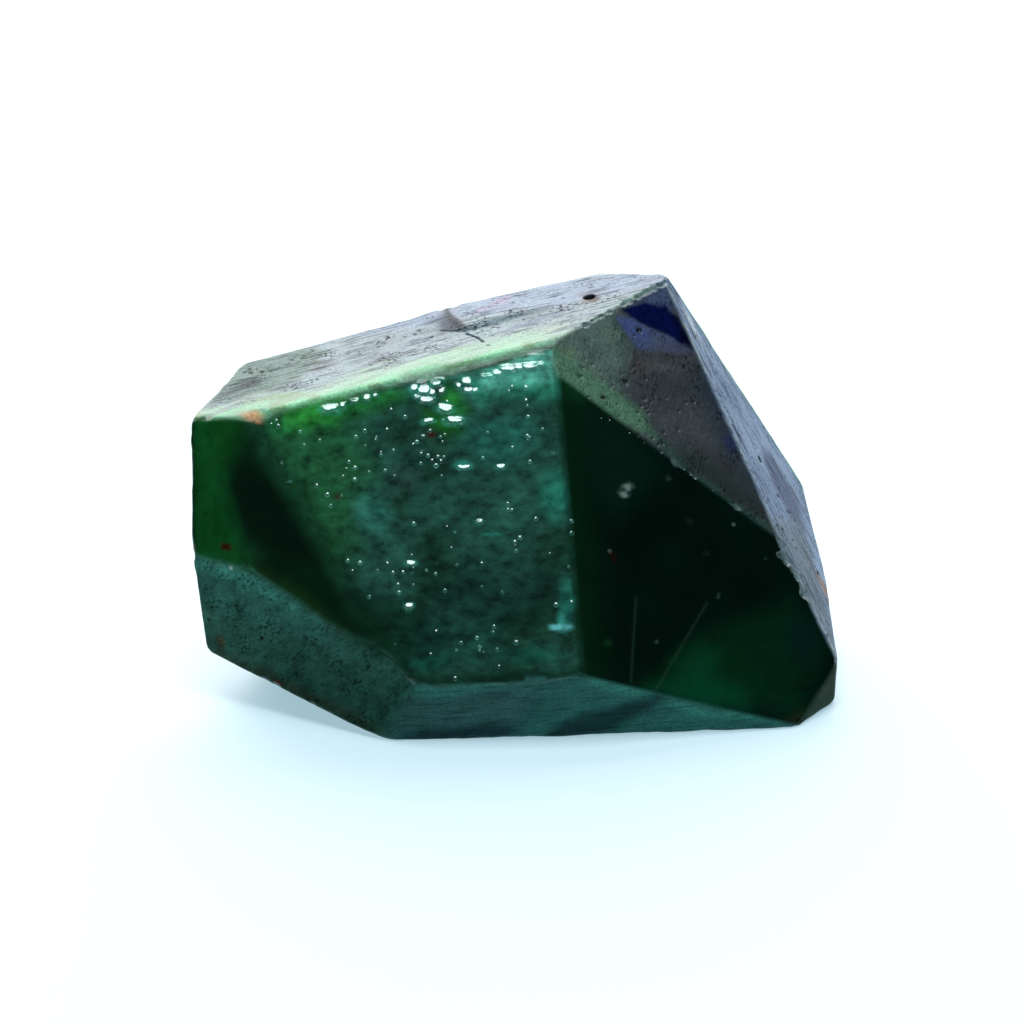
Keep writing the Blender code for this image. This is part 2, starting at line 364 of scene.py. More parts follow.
# %% [markdown]
# ## Points on the facets
# Each facet gets a grid of points in its own two directions, across and up. Rows that follow its
# edges at a few small distances catch the roundness there. Where there is a pit or a chip the grid
# is halved and halved again. The points of an edge are shared by both facets, which closes the skin.

# %% Where the grid is finer
# The grid's step in mm, on hidden facets and on those that the photograph shows
COARSE_STEP, CLOSE_STEP = 0.34, 0.2
SPACING = {name: COARSE_STEP for name in NAMES}
for name in ("top", "brow", "front_left", "front_right", "upper_right", "right",
             "left_cheek", "left_end", "skirt_left", "skirt_front", "skirt_right"):
    SPACING[name] = CLOSE_STEP
# The crack's bends, across the top and up it, and each scratch's two ends as pixels
CRACK = np.array([(-2.4, 1.75), (-2.7, 1.66), (-3.98, 1.53), (-5.45, 1.0), (-6.52, -0.04)])
SCRATCHES = [(636, 598, 631, 682), (707, 603, 656, 690)]
# Zones with small patterns of colour: facet, place across it and up it, radius, in mm
FINE_ZONES = {
    "notch": ("top", (-7.8, 1.0), 2.2),
    "inclusion": ("front_right", seen("front_right", 627, 492), 1.2),
    "blue_zone": ("upper_right", seen("upper_right", 655, 325), 3.0),
}
CRACK_ZONE, SCRATCH_ZONE = 0.35, 0.10
# How far the finer grid reaches round a chip, a pit, a speck and a lump, as shares of their size
CHIP_ZONE, PIT_ZONE, SPECK_ZONE, LUMP_ZONE = 1.25, 1.5, 1.25, 1.2
# Chips and lumps above these sizes in mm do with a grid that is halved once
WIDE_CHIP, TALL_LUMP = 1.8, 0.3
# The steps of a finer grid, in quarters of the even grid's step
HALF, QUARTER = 2, 1
DETAILS = []
for one, other, along, radius, bite, stretch in CHIPS.values():
    reach = math.sqrt(2.0 * radius * bite) * stretch
    level = QUARTER if reach < WIDE_CHIP else HALF
    DETAILS.append((on_edge(one, other, along), CHIP_ZONE * reach, level))
for name, across, up, radius, depth in PITS.values():
    DETAILS.append((on_facet(name, across, up), PIT_ZONE * radius, QUARTER))
for place, radius in BUBBLES + GRAINS + CRUMBS:
    DETAILS.append((place, SPECK_ZONE * radius, QUARTER))
for place, wide, tall in LUMPS:
    DETAILS.append((place, LUMP_ZONE * wide, HALF if tall > TALL_LUMP else QUARTER))
for across, up in np.linspace(CRACK[:-1], CRACK[1:], 5).reshape(-1, 2):
    DETAILS.append((on_facet("top", across, up), CRACK_ZONE, QUARTER))
for x, y, end_x, end_y in SCRATCHES:
    for part in np.linspace(0.0, 1.0, 40)[:, None]:
        place = (1.0 - part) * seen("front_right", x, y) + part * seen("front_right", end_x, end_y)
        DETAILS.append((on_facet("front_right", *place), SCRATCH_ZONE, QUARTER))
for name, place, radius in FINE_ZONES.values():
    DETAILS.append((on_facet(name, *place), radius, HALF))
DETAIL_AT = np.array([place for place, _, _ in DETAILS])
DETAIL_RADIUS = np.array([radius for _, radius, _ in DETAILS])
DETAIL_LEVEL = np.array([level for _, _, level in DETAILS])
print(len(DETAILS), "places with a finer grid")

# %% [markdown]
# An edge's points come in even steps. Inside a facet they stand on a grid of even triangles, because
# a square grid shows as steps where the light runs over a bump.

# %% The points
# Rows along an edge, as shares of its wear, which counts here as WIDEST_ROWS mm at most
ROWS = np.array([0.25, 0.6, 1.1, 1.7])
WIDEST_ROWS = 0.5
# How many steps of the finest grid make one of the even grid
LEVELS = 4
# How far points keep from an edge, as shares of the grid's step
CLOSE_GAP, WIDE_GAP = 0.3, 0.45


def edge_points(pair, ends):
    """The points along one edge, corners left out: even steps, which are finer at a detail."""
    start, end = CORNERS[ends]
    step = min(SPACING[NAMES[number]] for number in pair)
    count = max(int(np.linalg.norm(end - start) / step), 1) * LEVELS
    index = np.arange(1, count)
    line = start + index[:, None] / count * (end - start)
    kept = index % LEVELS == 0
    inside = np.linalg.norm(line[:, None] - DETAIL_AT, axis=2) < DETAIL_RADIUS
    for level in (HALF, QUARTER):
        kept |= (index % level == 0) & inside[:, DETAIL_LEVEL == level].any(1)
    return line[kept]


def flat(name, at):
    """Points as coordinates across a facet and up it."""
    number = NUMBER[name]
    return np.stack([at @ ACROSS[number], at @ UP[number]], 1)


def facet_rim(number):
    """The numbers of the points round a facet, in order: its corners and its edges' points."""
    corners = np.flatnonzero(MEETS[:, number])
    around = flat(NAMES[number], CORNERS[corners])
    corners = corners[np.arctan2(*(around - around.mean(0)).T[::-1]).argsort()]
    rim = []
    for first, second in zip(corners, np.roll(corners, -1)):
        pair = next(pair for pair, ends in EDGES.items() if {first, second} == set(ends))
        inner = EDGE_NUMBERS[pair]
        rim += [[first], inner if EDGES[pair][0] == first else inner[::-1]]
    return np.concatenate(rim)


def triangle_grid(centre, radius, step, level):
    """The whole numbers i, j of an even triangle grid within a radius, at every level-th place.

    The grid's point is across = (i + j / 2) step and up = j step sqrt(3) / 2."""
    stride, height = level * step, math.sqrt(0.75)
    j = np.arange(math.floor((centre[1] - radius) / stride / height),
                  math.ceil((centre[1] + radius) / stride / height) + 1)
    i = np.arange(math.floor((centre[0] - 1.6 * radius) / stride),
                  math.ceil((centre[0] + 1.6 * radius) / stride) + 1)
    j, i = np.meshgrid(j, i - int(centre[1] / stride / height / 2.0), indexing="ij")
    place = np.stack([(i + j / 2.0).ravel() * stride, j.ravel() * stride * height], 1)
    near = np.linalg.norm(place - centre, axis=1) < radius
    return np.stack([i.ravel(), j.ravel()], 1)[near] * level


def facet_grid(name):
    """The points inside a facet's rim: an even grid, finer at details, and rows along the edges."""
    number, step = NUMBER[name], SPACING[name] / LEVELS
    beside = [index for index, pair in enumerate(EDGES) if number in pair]
    others = EDGE_PAIRS[beside].sum(1) - number
    width = np.minimum(WEAR[beside], WIDEST_ROWS)

    def inset(at):
        """How far points of this facet lie from each of its edges."""
        return -(at @ NORMAL[others].T - REACH[others]) / np.sin(EDGE_ANGLE[beside])

    around = flat(name, CORNERS[MEETS[:, number]])
    middle = (around.min(0) + around.max(0)) / 2.0
    cells = [triangle_grid(middle, np.ptp(around, 0).max(), step, LEVELS)]
    for place, radius, level in DETAILS:
        if abs(place @ NORMAL[number] - REACH[number]) < radius:
            cells.append(triangle_grid(flat(name, place[None])[0], radius, step, level))
    i, j = np.unique(np.concatenate(cells), axis=0).T
    grid = on_facet(name, 0.0, 0.0) + np.outer((i + j / 2.0) * step, ACROSS[number])
    grid = grid + np.outer(j * step * math.sqrt(0.75), UP[number])
    fine = (i % LEVELS != 0) | (j % LEVELS != 0)
    close, wide = CLOSE_GAP * SPACING[name], ROWS[-1] * width + WIDE_GAP * SPACING[name]
    grid = grid[(inset(grid) > np.where(fine[:, None], close, wide)).all(1)]
    rows = []
    for index, other, near_width in zip(beside, others, width):
        start, end = CORNERS[EDGES[tuple(EDGE_PAIRS[index])]]
        inward = np.cross(NORMAL[number], end - start)
        inward = inward / np.linalg.norm(inward)
        inward = inward * np.sign((CORNERS[MEETS[:, number]].mean(0) - start) @ inward)
        count = max(int(np.linalg.norm(end - start) / SPACING[name]), 2)
        along = start + np.linspace(0.0, 1.0, count + 1)[:-1, None] * (end - start)
        for row, distance in enumerate(ROWS * near_width):
            line = along + (end - start) / count * (0.25 + 0.5 * (row % 2)) + inward * distance
            gaps = inset(line)
            gaps[:, others == other] = np.inf
            line = line[(gaps > distance + CLOSE_GAP * SPACING[name]).all(1)]
            apart = np.linalg.norm(line[:, None] - DETAIL_AT, axis=2) > DETAIL_RADIUS
            rows.append(line[apart.all(1)])
    return np.concatenate([grid] + rows)


EDGE_NUMBERS = {}
shared = [CORNERS]
count = len(CORNERS)
for pair, ends in EDGES.items():
    inner = edge_points(pair, ends)
    EDGE_NUMBERS[pair] = np.arange(count, count + len(inner))
    shared.append(inner)
    count += len(inner)
shared = np.concatenate(shared)
print(count, "points on corners and edges")

# %% [markdown]
# A Delaunay triangulation joins each facet's points. It keeps the triangles as even as they can be,
# which a smooth shine needs, and it takes a rim of any shape, which a plain grid of rows can't.

# %% The triangles
# A straight rim may give triangles with no area, so the points are joined on a slightly bulged facet
BULGE = 0.15
points, faces, facets = [shared], [], []
for number, name in enumerate(NAMES):
    rim = facet_rim(number)
    inner = facet_grid(name)
    ids = np.concatenate([rim, np.arange(count, count + len(inner))])
    local = flat(name, np.concatenate([shared[rim], inner]))
    local = local - local[:len(rim)].mean(0)
    away = (local**2).sum(1, keepdims=True)
    local = local * (1.0 - BULGE * away / away.max())
    made = delaunay_2d_cdt(local.tolist(), [], [list(range(len(rim)))], 1, TINY, False)
    if len(made[0]) != len(local):
        raise ValueError(f"{name}: two points are at one place")
    points.append(inner)
    faces.append(ids[np.array(made[2])])
    facets.append(np.full(len(made[2]), number))
    count += len(inner)
points = np.concatenate(points)
faces = np.concatenate(faces)
facets = np.concatenate(facets)
print(len(points), "points and", len(faces), "triangles")

# %% [markdown]
# ## Relief
# Heights on the worn surface, measured along the way out of it, make the rest. First come low waves
# from the hand grinding, and the ridge that stands behind the crack in the top.

# %% Waves, ridge and crack
# Each facet's waves: height, size across, size up, in mm
WAVES = {
    "top": [(0.030, 1.6, 7.0), (0.014, 0.35, 3.0)],
    "brow": [(0.060, 1.3, 0.9), (0.022, 0.5, 0.4)],
    "front_left": [(0.050, 2.6, 1.6), (0.024, 1.1, 0.55), (0.008, 0.5, 0.25)],
    "front_right": [(0.030, 5.0, 5.0), (0.004, 1.0, 1.0)],
    "upper_right": [(0.030, 2.5, 2.5), (0.014, 0.5, 0.5)],
    "right": [(0.040, 1.2, 6.0), (0.016, 0.4, 3.0)],
    "left_cheek": [(0.040, 4.0, 4.0), (0.006, 0.8, 0.8)],
    "left_end": [(0.040, 4.0, 4.0), (0.006, 0.8, 0.8)],
    "skirt_left": [(0.035, 4.0, 1.5), (0.010, 1.6, 0.35)],
    "skirt_front": [(0.035, 6.0, 1.0), (0.014, 3.0, 0.4)],
    "skirt_right": [(0.035, 6.0, 1.0), (0.014, 3.0, 0.4)],
}
OTHER_WAVES = [(0.045, 4.0, 2.5), (0.014, 1.2, 0.5)]
# How softly facets share their waves at an edge, and the crack's depth and width, in mm
SHARE_WIDTH = 0.35
CRACK_DEPTH, CRACK_WIDTH = 0.13, 0.08
# The ridge: its height, how its foot leans, over how many mm it rises, where on the top its foot
# starts, and between which two places across it dies out, on a line with a lean of its own
RIDGE_HEIGHT, RIDGE_LEAN, RIDGE_RUN = 0.20, 0.42, 1.5
RIDGE_START = (-6.52, -0.05)
RIDGE_END, RIDGE_END_LEAN = (-5.35, -5.75), 0.17


def facet_shares(at):
    """How much each facet has of each point: nearly all inside a facet, parted at an edge."""
    heights = above_planes(at)
    share = np.exp((heights - heights.max(1, keepdims=True)) / SHARE_WIDTH)
    return share / share.sum(1, keepdims=True)


def ease(low, high, value):
    """0 below low, 1 above high, and an even bend between them."""
    part = np.clip((value - low) / (high - low), 0.0, 1.0)
    return part * part * (3.0 - 2.0 * part)


def near_line(place, line):
    """The distance of flat points from a line of short pieces, and how far along it, 0 to 1."""
    start, step = line[:-1], np.diff(line, axis=0)
    part = ((place[:, None] - start) * step).sum(2) / (step**2).sum(1)
    part = np.clip(part, 0.0, 1.0)
    away = np.linalg.norm(place[:, None] - start - part[..., None] * step, axis=2)
    best = away.argmin(1)
    along = (best + np.take_along_axis(part, best[:, None], 1)[:, 0]) / len(step)
    return away.min(1), along


skin, way = onto_worn(points)
share = facet_shares(points)
height = np.zeros(len(points))
for number, name in enumerate(NAMES):
    some = share[:, number] > 0.01
    place = flat(name, points[some])
    for turn, (size, wide, tall) in enumerate(WAVES.get(name, OTHER_WAVES)):
        scaled = np.column_stack([place[:, 0] / wide, place[:, 1] / tall, 0.0 * place[:, 0]])
        height[some] += share[some, number] * size * noise(scaled, 1.0, 100 + 10 * number + turn)

top = flat("top", points)
on_top = share[:, NUMBER["top"]]
before_end = top[:, 0] - RIDGE_END_LEAN * (top[:, 1] - RIDGE_RUN)
ridge = ease(0.0, RIDGE_RUN, top[:, 1] - RIDGE_START[1] + RIDGE_LEAN * (RIDGE_START[0] - top[:, 0]))
ridge = ridge * ease(9.0, 2.0, top[:, 1]) * ease(*RIDGE_END, before_end)
height += RIDGE_HEIGHT * on_top * ridge
away, along = near_line(top, CRACK)
open_part = np.sin(np.pi * np.clip(along, 0.05, 0.9)) * ease(-0.5, 0.1, noise(points, 0.3, 25))
depth = on_top * CRACK_DEPTH * np.exp(-((away / CRACK_WIDTH) ** 2)) * open_part
print("waves and ridge from", round(height.min(), 3), "to", round(height.max(), 3), "mm")

# %% [markdown]
# Then come the hollows. A ball cuts each chip and pit, and the points are shaken a little before they
# are tested against it, so that none is quite round. Grains and crumbs are small domes, upside down.

# %% Hollows
# How far points are shaken for a chip and for a pit, as shares of the ball's radius
CHIP_SHAKE, PIT_SHAKE = 0.16, 0.2


def hollow(at, way, centre, axes, radii):
    """How deep a ball cuts below points: the way in along which each of them leaves the ball.

    With the ball scaled to radius 1 this is the larger root of a quadratic equation."""
    local = (at - centre) @ axes.T / radii
    inward = -way @ axes.T / radii
    a, b, c = (inward**2).sum(1), (local * inward).sum(1), (local**2).sum(1) - 1.0
    return np.where(c < 0.0, (-b + np.sqrt(np.maximum(b * b - a * c, 0.0))) / a, 0.0)


def dome(place, radius):
    """The height over each point of a dome of that radius and height 1, which ends flat."""
    away = np.linalg.norm(points - place, axis=1) / radius
    return np.clip(1.0 - away**2, 0.0, 1.0) ** 1.5


broken = np.zeros(len(points))
jitter = np.stack([noise(points, 0.5, seed) for seed in (21, 22, 23)], 1)
for one, other, along, radius, bite, stretch in CHIPS.values():
    edge_at = on_edge(one, other, along)
    out = NORMAL[NUMBER[one]] + NORMAL[NUMBER[other]]
    out = out / np.linalg.norm(out)
    forward = np.cross(NORMAL[NUMBER[one]], NORMAL[NUMBER[other]])
    forward = forward / np.linalg.norm(forward)
    axes = np.stack([forward, np.cross(out, forward), out])
    shaken = points + CHIP_SHAKE * radius * jitter
    ball = (shaken, way, edge_at + out * (radius - bite), axes, radius * np.array([stretch, 1.0, 1.0]))
    broken = np.maximum(broken, hollow(*ball))
for name, across, up, radius, pit_depth in PITS.values():
    number = NUMBER[name]
    axes = np.stack([ACROSS[number], UP[number], NORMAL[number]])
    centre = on_facet(name, across, up) + NORMAL[number] * (radius - pit_depth)
    depth = np.maximum(depth, hollow(points + PIT_SHAKE * radius * jitter, way, centre, axes, radius))
for place, radius in GRAINS:
    depth = np.maximum(depth, GRAIN_DEPTH * radius * dome(place, radius))
for place, radius in CRUMBS:
    broken = np.maximum(broken, CRUMB_DEPTH * radius * dome(place, radius))
print("hollows down to", round(np.maximum(depth, broken).max(), 3), "mm")

# %% [markdown]
# Bubbles are low domes. A lump is a small ellipse that rises evenly to a summit below its middle,
# like a scale, so its upper side mirrors the lamp. Its underside is noted, because it stays dull, and
# so is a ring round it, where a teal halo of the lump's highlight is painted.

# %% Bubbles and lumps
# A lump: how deep its ellipse reaches in mm, how far up it the summit is, from -1 to 1, how steep its
# slope and its sides are, and how far its rim is shaken in mm
LUMP_REACH, LUMP_SUMMIT, LUMP_SLOPE, LUMP_SIDES, LUMP_SHAKE = 1.5, -0.5, 0.38, 2.2, 0.08
bubble = np.zeros(len(points))
for place, radius in BUBBLES:
    bubble = np.maximum(bubble, BUBBLE_HEIGHT * radius * dome(place, radius))
face = NUMBER["front_left"]
painted_halo = np.zeros(len(points))
underside = np.zeros(len(points))
for place, wide, tall in LUMPS:
    away = points + LUMP_SHAKE * jitter - place
    away = away @ np.stack([ACROSS[face] / wide, UP[face] / tall, NORMAL[face] / LUMP_REACH], 1)
    from_rim = 1.0 - np.linalg.norm(away, axis=1)
    upward = away[:, 1] - LUMP_SUMMIT
    slab = 1.0 - np.where(upward > 0.0, upward / (1.0 - LUMP_SUMMIT), -upward / (1.0 + LUMP_SUMMIT))
    summit = LUMP_SLOPE * tall * (1.0 - LUMP_SUMMIT)
    lump = summit * np.clip(np.minimum(slab, LUMP_SIDES * from_rim), 0.0, 1.0)
    underside = np.where(lump > bubble, ease(0.0, -0.1, upward), underside)
    bubble = np.maximum(bubble, lump)
    painted_halo = np.maximum(painted_halo, ease(-0.6, 0.1, from_rim))
# The painted highlight halo round the lumps is patchy, and the hollows are uneven inside
painted_halo *= 0.6 + 0.4 * noise(points, 0.25, 33)
uneven = 1.0 + 0.3 * noise(points, 0.35, 31)
height += bubble - np.maximum(depth, broken) * uneven
height *= 1.0 - share[:, NUMBER["base"]]
skin = skin + way * height[:, None]
skin[:, 2] = np.maximum(skin[:, 2], -HEART[2])
print("relief from", round(height.min(), 3), "to", round(height.max(), 3), "mm")

# %% [markdown]
# ## The mesh
# The points go into one closed mesh. Each triangle's corners also keep where they lie across and up
# their own facet, in mm, because grinding marks run straight over one facet and turn at the next.

# %% The mesh
stone = bpy.data.objects.new("tourmaline_stone", bpy.data.meshes.new("tourmaline_stone"))
bpy.context.scene.collection.objects.link(stone)
mesh = stone.data
mesh.vertices.add(len(skin))
mesh.vertices.foreach_set("co", ((skin + HEART) * MM).ravel())
mesh.loops.add(faces.size)
mesh.loops.foreach_set("vertex_index", faces.ravel())
mesh.polygons.add(len(faces))
mesh.polygons.foreach_set("loop_start", np.arange(len(faces)) * 3)
mesh.polygons.foreach_set("use_smooth", np.ones(len(faces), bool))
mesh.update(calc_edges=True)
print("the mesh needed mending:", mesh.validate())
low, high = skin.min(0) + HEART, skin.max(0) + HEART
print("the stone in mm:", low.round(2), high.round(2))

# %% [markdown]
# ## Colours
# Tourmaline takes up different elements while it grows, so its colour changes in zones. Soft shapes
# are laid over each facet's body colour one after the other, like washes: blue in the shoulder, pale
# ground skin, a painted green glow where light would come through thin parts, brown where iron has
# stained it, and painted highlights, glints and sheen where the facets catch the lamps.

# %% Helpers for colours
corner_at = points[faces.ravel()]
corner_facet = np.repeat(facets, 3)


def linear(code):
    """An sRGB hex colour as linear red, green and blue."""
    value = np.array([int(code[at:at + 2], 16) for at in (1, 3, 5)]) / 255.0
    return np.where(value <= 0.04045, value / 12.92, ((value + 0.055) / 1.055) ** 2.4)


def spot(name, place, x, y, wide, tall, turn):
    """1 at a pixel's place on a facet, fading to 0 at the rim of an ellipse that is turned there."""
    angle = math.radians(turn)
    away = place - seen(name, x, y)
    along = away @ [math.cos(angle), math.sin(angle)]
    beside = away @ [-math.sin(angle), math.cos(angle)]
    return ease(1.0, 0.2, np.hypot(along / wide, beside / tall))


def patch(name, place, soft, pixels):
    """1 inside a many-sided shape that is drawn on the photograph, 0 outside, with a soft rim.

    A point is inside when a line from it crosses the rim an odd number of times."""
    corners = np.array([seen(name, x, y) for x, y in pixels])
    following = np.roll(corners, -1, 0)
    away = near_line(place, np.concatenate([corners, corners[:1]]))[0]
    higher = corners[:, 1] > place[:, 1:]
    crossed = higher != (following[:, 1] > place[:, 1:])
    step = following - corners
    step[:, 1] = np.where(step[:, 1] == 0.0, TINY, step[:, 1])
    meets = corners[:, 0] + (place[:, 1:] - corners[:, 1]) * step[:, 0] / step[:, 1]
    inside = (crossed & (place[:, :1] < meets)).sum(1) % 2
    return ease(-soft, soft, np.where(inside, away, -away))


def edge_gap(name, other, at):
    """How far points of a facet lie from its edge with another facet, in mm."""
    a, b = NUMBER[name], NUMBER[other]
    slant = math.sqrt(1.0 - (NORMAL[a] @ NORMAL[b]) ** 2)
    return -(at @ NORMAL[b] - REACH[b]) / slant


def cloud(place, wide, tall, seed):
    """Noise over flat points, from 0 to 1, of that size in mm."""
    return 0.5 + 0.5 * noise(np.column_stack([place / [wide, tall], 0.0 * place[:, 0]]), 1.0, seed)


# %% [markdown]
# Each facet's skin comes first: body colour, mist over it, how frosted, streaked and specked it is, how
# much painted sheen it has in clouds, and how much it shines. Then come its washes, from the first to
# the last: colour, strength, and either a pixel with half sizes in mm and a turn, or a softness and a
# shape in pixels.

# %% Skins and washes
SKIN = {
    "top": ("#607986", "#839da6", 1.0, 1.0, 0.9, 0.0, 0.26),
    # The brow's pale teal holds a painted highlight as well as its own colour
    "brow": ("#48a486", "#74d8bc", 0.1, 0.0, 0.0, 0.8, 0.50),
    "front_left": ("#1d4030", "#326656", 0.05, 0.0, 0.0, 1.0, 0.50),
    "front_right": ("#01110b", "#021810", 0.0, 0.0, 0.0, 0.1, 0.22),
    "upper_right": ("#30373b", "#44494c", 0.9, 0.3, 0.7, 0.3, 0.30),
    "right": ("#7088ae", "#98aed0", 0.9, 1.0, 0.9, 0.0, 0.40),
    "left_cheek": ("#061c10", "#0a3018", 0.05, 0.0, 0.0, 0.3, 0.30),
    "left_end": ("#0e4a1c", "#145a28", 0.05, 0.0, 0.0, 0.3, 0.30),
    "skirt_left": ("#264e41", "#366657", 0.8, 0.2, 0.9, 0.6, 0.02),
    "skirt_front": ("#345856", "#426e6c", 0.7, 0.6, 0.2, 0.2, 0.02),
    "skirt_right": ("#305e5a", "#3c7670", 0.7, 0.6, 0.2, 0.2, 0.02),
    "corner": ("#03200f", "#063018", 0.5, 0.0, 0.1, 0.1, 0.02),
    "back": ("#12301f", "#245440", 0.6, 0.25, 0.3, 0.7, 0.25),
    "back_middle": ("#14342a", "#2c5450", 0.6, 0.3, 0.4, 0.6, 0.25),
    "back_right": ("#1e3044", "#3c5276", 0.7, 0.4, 0.5, 0.4, 0.28),
    "back_left": ("#0c2a16", "#1d4c32", 0.5, 0.2, 0.3, 0.8, 0.25),
    "back_foot": ("#173a34", "#28504a", 0.6, 0.3, 0.3, 0.3, 0.10),
}
OTHER_SKIN = ("#24463e", "#3c5c56", 0.7, 0.3, 0.4, 0.2, 0.15)
HIDDEN = [name for name in NAMES if name not in SKIN or name.startswith("back")]

